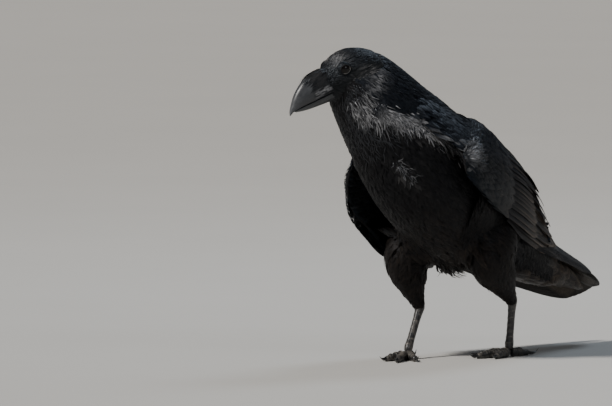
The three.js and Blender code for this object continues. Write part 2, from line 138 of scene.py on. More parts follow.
def on_head(s, th, inset=0.0):
    p = rows(HEAD, s)
    f, u, w, hu, hd = [p[..., k] for k in range(5)]
    c, d = np.cos(th), np.sin(th)
    h = np.where(d >= 0, hu, hd)
    n = len(HEAD) - 1
    e0, e1 = np.clip(1 - s / (0.12 * n), 0, 1), np.clip(1 - (n - s) / (0.14 * n), 0, 1)
    k = np.sqrt(1 - e0 ** 2) * np.sqrt(1 - e1 ** 2) * 0.97 + 0.03
    return in_head(f, (w - inset) * k * c, u + (h - inset) * k * d)


def tube_frame(points, t):
    n = len(points) - 1
    t = np.asarray(t, float)
    at = rows(points, t * n)
    along = unit(rows(points, np.minimum(1, t + 0.01) * n) - rows(points, np.maximum(0, t - 0.01) * n))
    x = np.array([1.0, 0, 0])
    side = unit(x - along * along[..., :1])
    return at, along, side, np.cross(along, side)


def tibia_points(leg):
    hip, knee, ankle = [np.array(leg[k], float) for k in ("hip", "knee", "ankle")]
    return [hip, knee, knee * 0.5 + ankle * 0.5 + [leg["side"] * 1.5, -3, 0], ankle + [0, 0, -1]]


def on_tibia(leg, t, th, inset=0.0):
    at, along, side, up = tube_frame(tibia_points(leg), t)
    r = rows(TIBIA, np.asarray(t, float) * (len(TIBIA) - 1))[..., 0]
    return at + side * ((r * 0.62 + 1 - inset) * np.cos(th))[..., None] + up * ((r * 0.86 - inset) * np.sin(th))[..., None]


def wing_frame(name, s):
    sg = 1 if name == "left" else -1
    t = np.array(WING[name], float)
    t[:, 0] *= sg
    t[:, 3] *= sg
    s = np.asarray(s, float)
    n = len(t) - 1
    p, p0, p1 = rows(t, s), rows(t, np.maximum(0, s - 0.25)), rows(t, np.minimum(n, s + 0.25))
    along = unit((p1[..., 0:3] + p1[..., 3:6]) - (p0[..., 0:3] + p0[..., 3:6]))
    low, high = p[..., 0:3], p[..., 3:6]
    up = unit(high - low)
    out = unit(np.cross(along, up)) * sg
    out = np.where((out[..., :1] * sg) < 0, -out, out)
    return low, high, along, up, out, p[..., 6], p[..., 7]


def on_wing(name, s, a, lift=0.0):
    n = len(WING[name]) - 1
    s = np.asarray(s, float)
    low, high, along, up, out, bulge, thick = wing_frame(name, s)
    a = np.asarray(a, float)
    return low + (high - low) * a[..., None] + out * (bulge * 4 * a * (1 - a) + lift)[..., None]


# ------------------------------------------------------------------ origin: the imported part's own eye tells how far the frame was shifted
eye_lo, eye_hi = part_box("eye_left")
eye_c = (np.array(eye_lo) + np.array(eye_hi)) * 500
SHIFT = eye_c - in_head(0, EYE_SIDE, 0)


def metres(p):
    return (np.asarray(p, float) + SHIFT) / 1000


# ------------------------------------------------------------------ mesh tools
def new_mesh(name, verts, faces, mat=None, smooth_shade=True):
    me = bpy.data.meshes.new(name)
    verts = np.asarray(verts, float)
    faces = np.asarray(faces, int)
    k = faces.shape[1]
    me.vertices.add(len(verts))
    me.vertices.foreach_set("co", verts.astype(np.float32).ravel())
    me.loops.add(faces.size)
    me.loops.foreach_set("vertex_index", faces.astype(np.int32).ravel())
    me.polygons.add(len(faces))
    me.polygons.foreach_set("loop_start", (np.arange(len(faces)) * k).astype(np.int32))
    me.polygons.foreach_set("use_smooth", np.full(len(faces), smooth_shade))
    me.update(calc_edges=True)
    me.validate()
    ob = bpy.data.objects.new(name, me)
    bpy.context.scene.collection.objects.link(ob)
    if mat:
        me.materials.append(mat)
    return ob


def grid_faces(r, c, closed=True):
    i, j = np.meshgrid(np.arange(r - 1), np.arange(c if closed else c - 1), indexing="ij")
    j2 = (j + 1) % c
    return np.stack([i * c + j, i * c + j2, (i + 1) * c + j2, (i + 1) * c + j], -1).reshape(-1, 4)


def tube(rings):
    """verts and triangles of a closed tube with pointed ends, from (R, C, 3) rings"""
    R, C, _ = rings.shape
    v = np.vstack([rings.reshape(-1, 3), rings[0].mean(0), rings[-1].mean(0)])
    q = grid_faces(R, C)
    t = np.vstack([q[:, [0, 1, 2]], q[:, [0, 2, 3]]])
    j = np.arange(C)
    k = (j + 1) % C
    t = np.vstack([t, np.stack([k, j, np.full(C, R * C)], -1), np.stack([(R - 1) * C + j, (R - 1) * C + k, np.full(C, R * C + 1)], -1)])
    return v, t


def joined(parts):
    v, t, n = [], [], 0
    for a, b in parts:
        v.append(a)
        t.append(b + n)
        n += len(a)
    return np.vstack(v), np.vstack(t)


def remeshed(name, v, t, voxel, rounds):
    ob = new_mesh(name, v, t)
    m = ob.modifiers.new("r", "REMESH")
    m.mode = "VOXEL"
    m.voxel_size = voxel
    dg = bpy.context.evaluated_depsgraph_get()
    me = bpy.data.meshes.new_from_object(ob.evaluated_get(dg))
    bpy.data.objects.remove(ob)
    nv = len(me.vertices)
    co = np.empty(nv * 3, np.float32)
    me.vertices.foreach_get("co", co)
    co = co.reshape(-1, 3).astype(float)
    ed = np.empty(len(me.edges) * 2, np.int32)
    me.edges.foreach_get("vertices", ed)
    ed = ed.reshape(-1, 2)
    deg = np.bincount(ed.ravel(), minlength=nv)[:, None]
    for k in range(rounds):
        acc = np.zeros_like(co)
        for c in range(3):
            acc[:, c] = np.bincount(ed[:, 0], co[ed[:, 1], c], nv) + np.bincount(ed[:, 1], co[ed[:, 0], c], nv)
        f = 0.6 if k % 2 == 0 else -0.45
        co = co + f * (acc / np.maximum(deg, 1) - co)
    me.calc_loop_triangles()
    tr = np.empty(len(me.loop_triangles) * 3, np.int32)
    me.loop_triangles.foreach_get("vertices", tr)
    bpy.data.meshes.remove(me)
    return co, tr.reshape(-1, 3)


def vertex_normals(v, t):
    fn = np.cross(v[t[:, 1]] - v[t[:, 0]], v[t[:, 2]] - v[t[:, 0]])
    n = np.zeros_like(v)
    for k in range(3):
        for c in range(3):
            n[:, c] += np.bincount(t[:, k], fn[:, c], len(v))
    return unit(n)


class Surface:
    def __init__(self, v, t):
        self.v, self.t, self.n = v, t, vertex_normals(v, t)
        self.tree = BVHTree.FromPolygons(v.tolist(), t.tolist())

    def near(self, p):
        f = self.tree.find_nearest
        out = [f(q) for q in p.tolist()]
        loc = np.array([o[0][:] for o in out])
        idx = np.array([o[2] for o in out])
        a, b, c = [self.v[self.t[idx, k]] for k in range(3)]
        n = np.cross(b - a, c - a)
        d = np.maximum((n * n).sum(-1), 1e-12)
        wa = (np.cross(c - b, loc - b) * n).sum(-1) / d
        wb = (np.cross(a - c, loc - c) * n).sum(-1) / d
        w = np.clip(np.stack([wa, wb, 1 - wa - wb], -1), 0, 1)
        vn = sum(self.n[self.t[idx, k]] * w[:, k:k + 1] for k in range(3))
        return loc, unit(vn)


# ------------------------------------------------------------------ materials
def nodes_of(name):
    m = bpy.data.materials.new(name)
    m.use_nodes = True
    nt = m.node_tree
    return m, nt, nt.nodes["Principled BSDF"]


def node(nt, kind, **kw):
    n = nt.nodes.new(kind)
    for k, v in kw.items():
        if k.startswith("i_"):
            n.inputs[int(k[2:]) if k[2:].isdigit() else k[2:]].default_value = v
        else:
            setattr(n, k, v)
    return n


def math_node(nt, op, a, b=None, clamp=False):
    n = nt.nodes.new("ShaderNodeMath")
    n.operation = op
    n.use_clamp = clamp
    for k, x in enumerate((a, b)):
        if x is None:
            continue
        if isinstance(x, (int, float)):
            n.inputs[k].default_value = x
        else:
            nt.links.new(x, n.inputs[k])
    return n.outputs[0]


def mapped(nt, x, a, b, c, d):
    n = node(nt, "ShaderNodeMapRange")
    nt.links.new(x, n.inputs["Value"])
    for k, v in zip(("From Min", "From Max", "To Min", "To Max"), (a, b, c, d)):
        n.inputs[k].default_value = v
    return n.outputs["Result"]


def noise(nt, scale, detail=4, rough=0.6, vec=None):
    n = node(nt, "ShaderNodeTexNoise")
    n.inputs["Scale"].default_value = scale
    n.inputs["Detail"].default_value = detail
    n.inputs["Roughness"].default_value = rough
    if vec is None:
        tc = node(nt, "ShaderNodeTexCoord")
        vec = tc.outputs["Object"]
    nt.links.new(vec, n.inputs["Vector"])
    return n.outputs["Fac"]


def scaled_color(nt, color, fac):
    mx = node(nt, "ShaderNodeMix", data_type="RGBA", blend_type="MULTIPLY")
    mx.inputs[0].default_value = 1
    nt.links.new(color, mx.inputs[6])
    comb = node(nt, "ShaderNodeCombineColor")
    for k in range(3):
        nt.links.new(fac, comb.inputs[k])
    nt.links.new(comb.outputs[0], mx.inputs[7])
    return mx.outputs[2]


def feather_material(name, rough=0.42, tint=(0.72, 0.84, 1.0), spec=0.5, coat=0.0, sheen=0.12, barb=0.25, metal=0.0):
    m, nt, p = nodes_of(name)
    col = node(nt, "ShaderNodeAttribute", attribute_name="tint")
    vane = node(nt, "ShaderNodeAttribute", attribute_name="vane")
    sep = node(nt, "ShaderNodeSeparateXYZ")
    nt.links.new(vane.outputs["Vector"], sep.inputs[0])
    barbs = node(nt, "ShaderNodeAttribute", attribute_name="barb")
    wave = math_node(nt, "SINE", math_node(nt, "MULTIPLY", barbs.outputs["Fac"], 6.6))
    n1 = noise(nt, 140, 3)
    n2 = noise(nt, 28, 3)
    fac = math_node(nt, "MULTIPLY", mapped(nt, n1, 0.3, 0.7, 0.65, 1.35), mapped(nt, n2, 0.3, 0.7, 0.8, 1.2))
    fac = math_node(nt, "MULTIPLY", fac, mapped(nt, wave, -1, 1, 0.82, 1.12))
    fac = math_node(nt, "MULTIPLY", fac, mapped(nt, sep.outputs[2], 0, 1, 0.75, 1.25))
    nt.links.new(scaled_color(nt, col.outputs["Color"], fac), p.inputs["Base Color"])
    r = mapped(nt, n2, 0.3, 0.7, rough - 0.07, rough + 0.09)
    nt.links.new(math_node(nt, "ADD", r, mapped(nt, sep.outputs[2], 0, 1, -0.05, 0.05)), p.inputs["Roughness"])
    bump = node(nt, "ShaderNodeBump")
    bump.inputs["Strength"].default_value = barb
    bump.inputs["Distance"].default_value = 0.0004
    nt.links.new(math_node(nt, "ADD", math_node(nt, "MULTIPLY", wave, 0.5), math_node(nt, "MULTIPLY", n1, 1.2)), bump.inputs["Height"])
    nt.links.new(bump.outputs["Normal"], p.inputs["Normal"])
    p.inputs["Specular IOR Level"].default_value = spec
    p.inputs["Specular Tint"].default_value = (*tint, 1)
    p.inputs["Coat Weight"].default_value = coat
    p.inputs["Coat Roughness"].default_value = 0.3
    p.inputs["Sheen Weight"].default_value = sheen
    p.inputs["Sheen Roughness"].default_value = 0.4
    p.inputs["Sheen Tint"].default_value = (0.8, 0.88, 1.0, 1)
    p.inputs["Metallic"].default_value = metal
    return m


def horn_material(name, base, worn, rough, scale, wear, bump_d=0.0003, spec=0.5, coat=0.0, stretch=(1, 1, 1), attr=None):
    m, nt, p = nodes_of(name)
    tc = node(nt, "ShaderNodeTexCoord")
    mp = node(nt, "ShaderNodeMapping")
    mp.inputs["Scale"].default_value = stretch
    nt.links.new(tc.outputs["Object"], mp.inputs["Vector"])
    n1 = noise(nt, scale, 6, 0.65, mp.outputs[0])
    n2 = noise(nt, scale * 4.5, 5, 0.6, mp.outputs[0])
    ramp = node(nt, "ShaderNodeMix", data_type="RGBA")
    f = math_node(nt, "MULTIPLY", mapped(nt, n1, 0.45, 0.75, 0, 1), mapped(nt, n2, 0.3, 0.7, 0.3, 1))
    f = math_node(nt, "MULTIPLY", f, wear)
    if attr:
        at = node(nt, "ShaderNodeAttribute", attribute_name=attr)
        f = math_node(nt, "ADD", f, math_node(nt, "MULTIPLY", at.outputs["Fac"], mapped(nt, n2, 0.25, 0.75, 0.35, 1)), True)
    nt.links.new(f, ramp.inputs[0])
    ramp.inputs[6].default_value = (*base, 1)
    ramp.inputs[7].default_value = (*worn, 1)
    nt.links.new(ramp.outputs[2], p.inputs["Base Color"])
    nt.links.new(mapped(nt, n2, 0.25, 0.75, rough - 0.08, rough + 0.14), p.inputs["Roughness"])
    b = node(nt, "ShaderNodeBump")
    b.inputs["Strength"].default_value = 0.5
    b.inputs["Distance"].default_value = bump_d
    nt.links.new(math_node(nt, "ADD", n1, math_node(nt, "MULTIPLY", n2, 0.4)), b.inputs["Height"])
    nt.links.new(b.outputs["Normal"], p.inputs["Normal"])
    p.inputs["Specular IOR Level"].default_value = spec
    p.inputs["Coat Weight"].default_value = coat
    p.inputs["Coat Roughness"].default_value = 0.2
    return m


M_BODY = feather_material("raven_body", 0.46, (0.9, 0.92, 1.0), 0.125, 0.0, 0.0, 0.3)
M_NAPE = feather_material("raven_nape", 0.44, (0.7, 0.82, 1.0), 0.17, 0.0, 0.0, 0.25)
M_HEAD = feather_material("raven_head", 0.38, (0.8, 0.9, 1.0), 0.24, 0.0, 0.0, 0.25)
M_MANTLE = feather_material("raven_mantle", 0.34, (0.56, 0.75, 1.0), 0.38, 0.0, 0.0, 0.25)
M_HACKLE = feather_material("raven_hackle", 0.3, (0.9, 0.93, 1.0), 0.5, 0.0, 0.0, 0.3)
M_WING = feather_material("raven_wing", 0.40, (0.85, 0.9, 1.0), 0.13, 0.0, 0.0, 0.45)
M_QUILL = feather_material("raven_quill", 0.42, (0.55, 0.75, 1.0), 0.16, 0.0, 0.0, 0.5)
M_COVERT = feather_material("raven_covert", 0.34, (0.66, 0.82, 1.0), 0.16, 0.0, 0.0, 0.25)
M_UNDER = feather_material("raven_quill_under", 0.46, (1.0, 0.89, 0.76), 0.205, 0.0, 0.0, 0.5)
M_SKIN = horn_material("raven_skin", (0.0045, 0.0045, 0.0052), (0.0105, 0.0098, 0.0095), 0.65, 300, 0.5, 0.0003, 0.2)
M_LID = horn_material("raven_lid", (0.006, 0.006, 0.007), (0.24, 0.232, 0.222), 0.55, 900, 0.02, 0.0003, 0.1, 0.0, (1, 1, 1), "wear")
M_BILL = horn_material("raven_bill", (0.024, 0.0255, 0.0285), (0.13, 0.134, 0.142), 0.38, 90, 0.35, 0.0002, 0.5, 0.05, (1, 1, 1), "wear")
M_LEG = horn_material("raven_leg", (0.011, 0.011, 0.012), (0.21, 0.185, 0.155), 0.42, 160, 0.8, 0.0003, 0.5, 0.1, (1, 1, 1), "wear")
M_CLAW = horn_material("raven_claw", (0.007, 0.007, 0.0075), (0.06, 0.057, 0.053), 0.24, 300, 0.3, 0.0001, 0.5, 0.2, (1, 1, 1), None)


def eye_material():
    m, nt, p = nodes_of("raven_eye")
    at = node(nt, "ShaderNodeAttribute", attribute_name="iris")
    n1 = noise(nt, 1500, 4)
    ramp = node(nt, "ShaderNodeValToRGB")
    e = ramp.color_ramp.elements
    e[0].position, e[0].color = 0.0, (0.002, 0.002, 0.002, 1)
    e[1].position, e[1].color = 0.42, (0.003, 0.0022, 0.002, 1)
    for pos, c in ((0.46, (0.0035, 0.0022, 0.0018, 1)), (0.85, (0.003, 0.002, 0.0018, 1)), (0.98, (0.003, 0.0025, 0.0025, 1))):
        k = e.new(pos)
        k.color = c
    nt.links.new(at.outputs["Fac"], ramp.inputs[0])
    nt.links.new(scaled_color(nt, ramp.outputs[0], mapped(nt, n1, 0.3, 0.7, 0.6, 1.5)), p.inputs["Base Color"])
    p.inputs["Roughness"].default_value = 0.06
    p.inputs["Specular IOR Level"].default_value = 0.24
    return m


M_EYE = eye_material()

# ------------------------------------------------------------------ skin
NB = len(BODY) - 1
TH = np.linspace(0, 2 * math.pi, 48, endpoint=False)


def depth_body(s):
    return np.interp(s, [0, 2, 6, 8, 9.5, 11], [4, 7, 8, 8, 6, 3.5])


def depth_head(s):
    return np.interp(s, [0, 2.5, 5, 8], [3, 2.4, 1.7, 1.1])


def body_parts():
    s = np.linspace(0, NB, 90)
    S, T = np.meshgrid(s, TH, indexing="ij")
    yield tube(on_body(S, T, depth_body(S)))
    s = np.linspace(0, len(HEAD) - 1, 70)
    S, T = np.meshgrid(s, TH, indexing="ij")
    yield tube(on_head(S, T, depth_head(S)))
    for leg in LEGS.values():
        S, T = np.meshgrid(np.linspace(0, 1, 40), TH[::2], indexing="ij")
        yield tube(on_tibia(leg, S, T, np.interp(S, [0, 0.6, 1], [6, 4, 2.2])))


def wing_mass(name):
    s = np.linspace(0.05, len(WING[name]) - 1.6, 40)
    A = np.linspace(0, 2 * math.pi, 36, endpoint=False)
    S, T = np.meshgrid(s, A, indexing="ij")
    low, high, along, up, out, bulge, thick = wing_frame(name, S)
    lift = (thick * 0.5 - 0.5) * np.cos(T) - thick * 0.5 - 2.2
    return tube(on_wing(name, S, 0.5 + 0.44 * np.sin(T), lift))


def filled(v, t, d):
    """the same shape with its folds rounded out to about the radius d"""
    a, b = remeshed("fat", v + vertex_normals(v, t) * d, t, VOX, 6)
    return a - vertex_normals(a, b) * (d + 0.5), b


bare = list(body_parts())
VOX = 2.4
tops = []
for leg in LEGS.values():
    S, T = np.meshgrid(np.linspace(0, 0.55, 24), TH[::2], indexing="ij")
    tops.append(tube(on_tibia(leg, S, T, np.interp(S, [0, 0.45, 0.55], [6.5, 6.5, 12]))))
bare.append(filled(*remeshed("plain", *joined([bare[0]] + tops), VOX, 4), 24.0))
bv, bt = remeshed("tmp", *joined(bare), VOX, 14)
SURF = Surface(bv, bt)
q_at, q_along, q_side, q_up, q_w, q_hu, q_hd = body_frame(np.array(0.6))
u = np.linspace(0, 1, 24)[:, None]
vent = (q_at * (1 - u) + np.array([3, 250, 68]) * u)[:, None] + q_side * (np.interp(u, [0, 0.35, 1], [q_w - 2, 17, 15]) * np.cos(TH))[..., None] \
    + q_up * (np.interp(u, [0, 0.35, 1], [q_hd - 2, 10, 2.5]) * np.sin(TH) * np.where(np.sin(TH) > 0, 0.4, 1))[..., None]
UNDER = Surface(*remeshed("tmp3", *joined(bare + [tube(vent)]), VOX, 10))
sv, st = remeshed("tmp2", *joined(bare + [wing_mass("left"), wing_mass("right")]), VOX, 14)
FULL = Surface(sv.copy(), st)
# eye sockets: the skin is drawn in behind each ball
for sg in (1, -1):
    c = in_head(0, EYE_SIDE * sg, 0)
    d = sv - c
    r = np.linalg.norm(d, axis=1)
    k = r < 9.5
    outw = H_S * sg
    sv[k] -= outw * (smooth(9.5, 5.5, r[k]) * 5.5)[:, None]
for sg in (1, -1):
    c = in_head(1.5, (EYE_SIDE + 4) * sg, 8.6)
    d = sv - c
    e = np.sqrt(((d @ H_F) / 12) ** 2 + ((d @ H_U) / 3.6) ** 2 + ((d @ H_S) / 9) ** 2)
    sv += (H_S * sg * 1.7 + H_U * 0.5) * smooth(1.0, 0.0, e)[:, None]
skin = new_mesh("skin", metres(sv), st, M_SKIN)


# ------------------------------------------------------------------ feathers
def assemble(name, P, tint, root_uv, mat, lw=None, thick=0.0, under=None, rnd=None, span=0.0015, strips=False):
    """one mesh from (N, K, C, 3) vanes in mm; tint (N, K, C, 3); root_uv (N, 2); lw (N, 2) is length and half width"""
    N, K, C, _ = P.shape
    q = grid_faces(K, C, closed=False)
    faces = (q[None] + (np.arange(N) * K * C)[:, None, None]).reshape(-1, 4)
    ob = new_mesh(name, metres(P.reshape(-1, 3)), faces, mat)
    me = ob.data
    t = np.linspace(0, 1, K)[None, :, None] * np.ones((N, 1, C))
    x = np.linspace(-1, 1, C)[None, None, :] * np.ones((N, K, 1))
    rnd = rng.random(N) if rnd is None else rnd
    r = rnd[:, None, None] * np.ones((1, K, C))
    a = me.attributes.new("vane", "FLOAT_VECTOR", "POINT")
    a.data.foreach_set("vector", np.stack([t, x, r], -1).astype(np.float32).ravel())
    L = lw[:, 0][:, None, None] if lw is not None else 20
    W = lw[:, 1][:, None, None] if lw is not None else 5
    a = me.attributes.new("barb", "FLOAT", "POINT")
    a.data.foreach_set("value", (t * L - np.abs(x) * W * 1.15 + r * 3).astype(np.float32).ravel())
    a = me.attributes.new("tint", "FLOAT_COLOR", "POINT")
    rgba = np.ones((N, K, C, 4))
    rgba[..., :3] = tint
    a.data.foreach_set("color", rgba.astype(np.float32).ravel())
    uv = np.stack([root_uv[:, 0][:, None, None] + x * span, root_uv[:, 1][:, None, None] + (2 * t - 1) * span], -1).reshape(-1, 2)
    if strips:
        uv = np.stack([(np.arange(N)[:, None, None] + 0.5 + 0.44 * x) / N, 0.02 + 0.96 * t], -1).reshape(-1, 2)
    lay = me.uv_layers.new(name="OFBake")
    lay.data.foreach_set("uv", uv[faces.ravel()].astype(np.float32).ravel())
    if thick:
        sm = ob.modifiers.new("thickness", "SOLIDIFY")
        sm.thickness = thick / 1000
        sm.offset = -1
        if under:
            me.materials.append(under)
            sm.material_offset = 1
    return ob


def outline(kind, t):
    if kind == "round":
        return (0.4 + 0.6 * smooth(0, 0.4, t)) * np.sqrt(np.clip(1 - np.clip((t - 0.55) / 0.45, 0, 1) ** 2, 0.004, 1))
    if kind == "oval":
        return (0.35 + 0.65 * smooth(0, 0.45, t)) * np.clip(1 - np.clip((t - 0.5) / 0.5, 0, 1) ** 1.7, 0.03, 1)
    if kind == "blade":
        return (0.5 + 0.5 * smooth(0, 0.3, t)) * np.sqrt(np.clip(1 - np.clip((t - 0.84) / 0.16, 0, 1) ** 2.2, 0.01, 1))
    if kind == "lance":
        return smooth(-0.1, 0.3, t) * np.clip(1 - t, 0.03, 1) ** 0.62
    return np.ones_like(t)


def pelt(surf, roots, dirs, L, W, h0, h1, K=7, C=3, kind="oval", cup=0.2, roll=0.12, wave=0.0, droop=None, ragged=0.12):
    """vanes that creep over a surface from their roots; returns (N, K, C, 3)"""
    N = len(roots)
    L, W, h0, h1 = [np.broadcast_to(np.asarray(v, float), (N,)) for v in (L, W, h0, h1)]
    loc, n = surf.near(roots)
    d = unit(dirs - n * (dirs * n).sum(-1, keepdims=True))
    out = np.empty((N, K, C, 3))
    t = np.linspace(0, 1, K)
    x = np.linspace(-1, 1, C)
    rr = rng.normal(0, roll, N)
    sway = rng.normal(0, wave, N)
    w = outline(kind, t)
    for k in range(K):
        side = np.cross(n, d)
        sd = side * np.cos(rr)[:, None] + n * np.sin(rr)[:, None]
        h = h0 + (h1 - h0) * smooth(-0.05, 0.75, t[k]) * (0.85 + 0.15 * t[k])
        for c in range(C):
            ww = W * w[k] * (1 + (rng.normal(0, ragged, N) if abs(x[c]) > 0.9 else 0))
            out[:, k, c] = loc + sd * (x[c] * ww)[:, None] + n * (h - cup * W * w[k] * x[c] ** 2)[:, None]
        if k < K - 1:
            step = (L / (K - 1))[:, None]
            turn = unit(d + side * sway[:, None])
            nl, nn = surf.near(loc + turn * step)
            d2 = unit(nl - loc)
            d2 = unit(d2 - nn * (d2 * nn).sum(-1, keepdims=True))
            bad = ~np.isfinite(d2).all(-1)
            d2[bad] = d[bad]
            loc, n, d = nl, nn, d2
    return out


def stagger(s0, s1, point, pitch_s, pitch_t, t0=0.0, t1=2 * math.pi, jitter=0.35):
    """roots in rows: point(s, theta) gives places in mm; pitches in mm"""
    S, T = [], []
    s, row = s0, 0
    while s < s1:
        th = np.linspace(t0, t1, 60)
        ring = point(np.full(60, s), th)
        seg = np.linalg.norm(np.diff(ring, axis=0), axis=1)
        cum = np.concatenate([[0], np.cumsum(seg)])
        n = max(3, int(cum[-1] / pitch_t(s)))
        u = (np.arange(n) + 0.5 * (row % 2) + rng.uniform(-jitter, jitter, n)) / n * cum[-1]
        tt = np.interp(np.clip(u, 0, cum[-1]), cum, th)
        S.append(s + np.zeros(n))
        T.append(tt)
        a = point(np.array([s, s + 0.05]), np.array([0.0, 0.0]))
        b = point(np.array([s, s + 0.05]), np.array([math.pi / 2] * 2))
        per = 0.5 * (np.linalg.norm(a[1] - a[0]) + np.linalg.norm(b[1] - b[0])) / 0.05
        s += pitch_s(s) / max(per, 1)
        row += 1
    S, T = np.concatenate(S), np.concatenate(T)
    return S, T


# PALE is mostly the colour of painted highlights: where glints stand in for light on the black feathers, tips and edges
# are mixed towards it. WARM is a brown for worn edges, also mixed into some of those painted highlights.
BLACK = np.array([0.0030, 0.0031, 0.0036])
BLUE = np.array([0.0037, 0.0051, 0.0088])
BROWN = np.array([0.0150, 0.0110, 0.0082])
PALE = np.array([0.155, 0.155, 0.160])
WARM = np.array([0.070, 0.053, 0.040])


def mix(a, b, f):
    f = np.asarray(f, float)[..., None]
    return a * (1 - f) + b * f


def vane_tint(base, K, C, pale=None, tip=None, tip_color=PALE, edge=1.6, core=0.0):
    """base (N, 3) out to (N, K, C, 3); pale rims by (N,) amounts, tips by (N,); callers use these for worn edges and
    for painted highlights
    """
    N = len(base)
    t = np.linspace(0, 1, K)[None, :, None]
    x = np.abs(np.linspace(-1, 1, C))[None, None, :]
    col = np.broadcast_to(base[:, None, None, :], (N, K, C, 3)).copy()
    if pale is not None:
        f = np.clip(pale[:, None, None] * (core + (1 - core) * x ** edge) * smooth(0.3 - 0.25 * core, 0.8 - 0.25 * core, t), 0, 1)
        col = mix(col, tip_color, f)
    if tip is not None:
        f = np.clip(tip[:, None, None] * smooth(0.78, 1, t) * np.ones_like(x), 0, 1)
        col = mix(col, tip_color, f)
    return col


def bump_at(s, th, s0, t0, ds, dt):
    d = np.angle(np.exp(1j * (th - t0)))
    return np.exp(-((s - s0) / ds) ** 2 - (d / dt) ** 2)


coat = []


def folded(T):
    """angle round the body as height only: -pi/2 under the belly, 0 at the side, pi/2 on the back"""
    t = np.angle(np.exp(1j * T))
    return np.where(np.abs(t) > math.pi / 2, np.sign(t) * math.pi - t, t)


def cape(s):
    """where the smooth mantle and nape end and the throat, breast and flank begin"""
    return np.interp(s, [0, 5, 6.6, 7.0, 7.66, 8.16, 8.63, 9.13, 9.9, 11], [0.05, 0.05, 0.18, 0.26, 0.20, 0.07, -0.12, -0.3, -0.33, -0.1])


def sown(s0, s1, pitch_s, pitch_t, keep, slack=2.6, jitter=0.35):
    S, T = stagger(s0, s1, on_body, lambda s: float(pitch_s(s)), lambda s: float(pitch_t(s)), jitter=jitter)
    root = on_body(S, T, depth_body(S))
    ok = keep(S, T)
    ok &= np.linalg.norm(FULL.near(root)[0] - root, axis=1) < slack
    return S[ok], T[ok], root[ok]


def lay_coat(name, S, T, root, lie, L, W, h0, h1, K, C, kind, cup, roll, ragged, base, pale, tip, rim, mat, surf=None, wave=0.04, stay=None, core=0.0):
    P = pelt(surf or FULL, root, lie, L, W, h0, h1, K, C, kind, cup, roll, wave, ragged=ragged)
    L, W, pale, tip = [np.broadcast_to(np.asarray(v, float), (len(S),)) for v in (L, W, pale, tip)]
    if stay is not None:  # vanes that would climb from the body on to a wing are left out
        mid = P[:, (3 * K) // 4, C // 2]
        ok = np.linalg.norm(SURF.near(mid)[0] - mid, axis=1) < stay
        P, S, T, L, W, base, pale, tip = [v[ok] for v in (P, S, T, L, W, base, pale, tip)]
    col = vane_tint(base, K, C, pale, tip, rim, core=core)
    uv = np.stack([0.03 + 0.94 * ((T / (2 * math.pi)) % 1), 0.03 + 0.94 * S / 11.5], -1)
    ob = assemble(name, P, col, uv, mat, np.stack([L, W], -1))
    coat.append((ob, "plumage"))
    return ob


def vary(n, k=0.14):
    return rng.uniform(1 - k, 1 + k, n)


# nape and sides of the neck: fine, close and smooth, with pale painted highlights along the cape's edge and behind the
# cheek
S, T, root = sown(7.0, 11.25, lambda s: np.interp(s, [7, 9, 11], [4.4, 3.4, 2.4]), lambda s: np.interp(s, [7, 9, 11], [3.2, 2.6, 2.1]), lambda s, t: folded(t) > cape(s) - 0.06)
n = len(S)
L, W = np.interp(S, [7, 9, 11], [26, 21, 13]) * vary(n), np.interp(S, [7, 9, 11], [2.9, 2.2, 1.7]) * vary(n)
# painted highlight: the hem and ear-edge masks put pale glints on tips and shafts along the cape's edge and behind the
# cheek, and also ruffle those feathers
glint_hem = smooth(0.3, 0.02, folded(T) - cape(S)) * smooth(9.6, 8.8, S)
ear_edge_glint = bump_at(S, T, 10.3, 0.22, 0.32, 0.42) + bump_at(S, T, 10.3, math.pi - 0.22, 0.32, 0.42)
lie = -body_frame(S)[1] + rng.normal(0, 0.045, (n, 3)) * (1 + 2.5 * glint_hem[:, None] + ear_edge_glint[:, None]) + np.array([0, 0, -0.1])
h1 = depth_body(S) * rng.uniform(0.9, 1.0, n) + glint_hem * rng.uniform(0, 3.5, n)
lay_coat("coat_nape", S, T, root, lie, L * (1 + 0.2 * glint_hem), W, 0.8, h1, 8, 3, "lance", 0.4, 0.1 + 0.0 * S.mean(), 0.08,
         mix(BLACK, BLUE, 0.3 + 0.3 * rng.random(n)), 0.03 * rng.random(n) ** 2 + glint_hem * 0.7 * rng.random(n) + ear_edge_glint * 0.8 * rng.random(n), glint_hem * 0.3 * rng.random(n), PALE * 1.7, M_NAPE, core=0.7)

# mantle, back and rump: rounded glossy scales, with pale painted highlights along the cape's edge
S, T, root = sown(0.3, 7.5, lambda s: np.interp(s, [0, 3, 7], [8, 7, 5.4]), lambda s: np.interp(s, [0, 3, 7], [7.5, 6.6, 5.0]), lambda s, t: folded(t) > cape(s) + 0.0)
n = len(S)
L, W = np.interp(S, [0, 4, 7.4], [38, 34, 27]) * vary(n), np.interp(S, [0, 4, 7.4], [8.5, 7.4, 5.2]) * vary(n)
glint_hem = smooth(0.28, 0.02, folded(T) - cape(S)) * smooth(6.3, 6.9, S)
lie = -body_frame(S)[1] + rng.normal(0, 0.035, (n, 3)) * (1 + 3 * glint_hem[:, None])
h1 = depth_body(S) * rng.uniform(0.84, 0.98, n) + glint_hem * rng.uniform(0, 3.5, n)
lay_coat("coat_mantle", S, T, root, lie, L, W, -0.6, h1, 8, 5, "round", 0.22, 0.06, 0.06,
         mix(BLACK, BLUE, 0.6 + 0.4 * rng.random(n)), 0.05 * rng.random(n) + glint_hem * 0.5 * rng.random(n), 0.03 * rng.random(n), PALE * 1.3, M_MANTLE, stay=np.where(S < 4.6, 8.0, np.where(glint_hem > 0.15, 9.0, 99.0)), core=0.5)

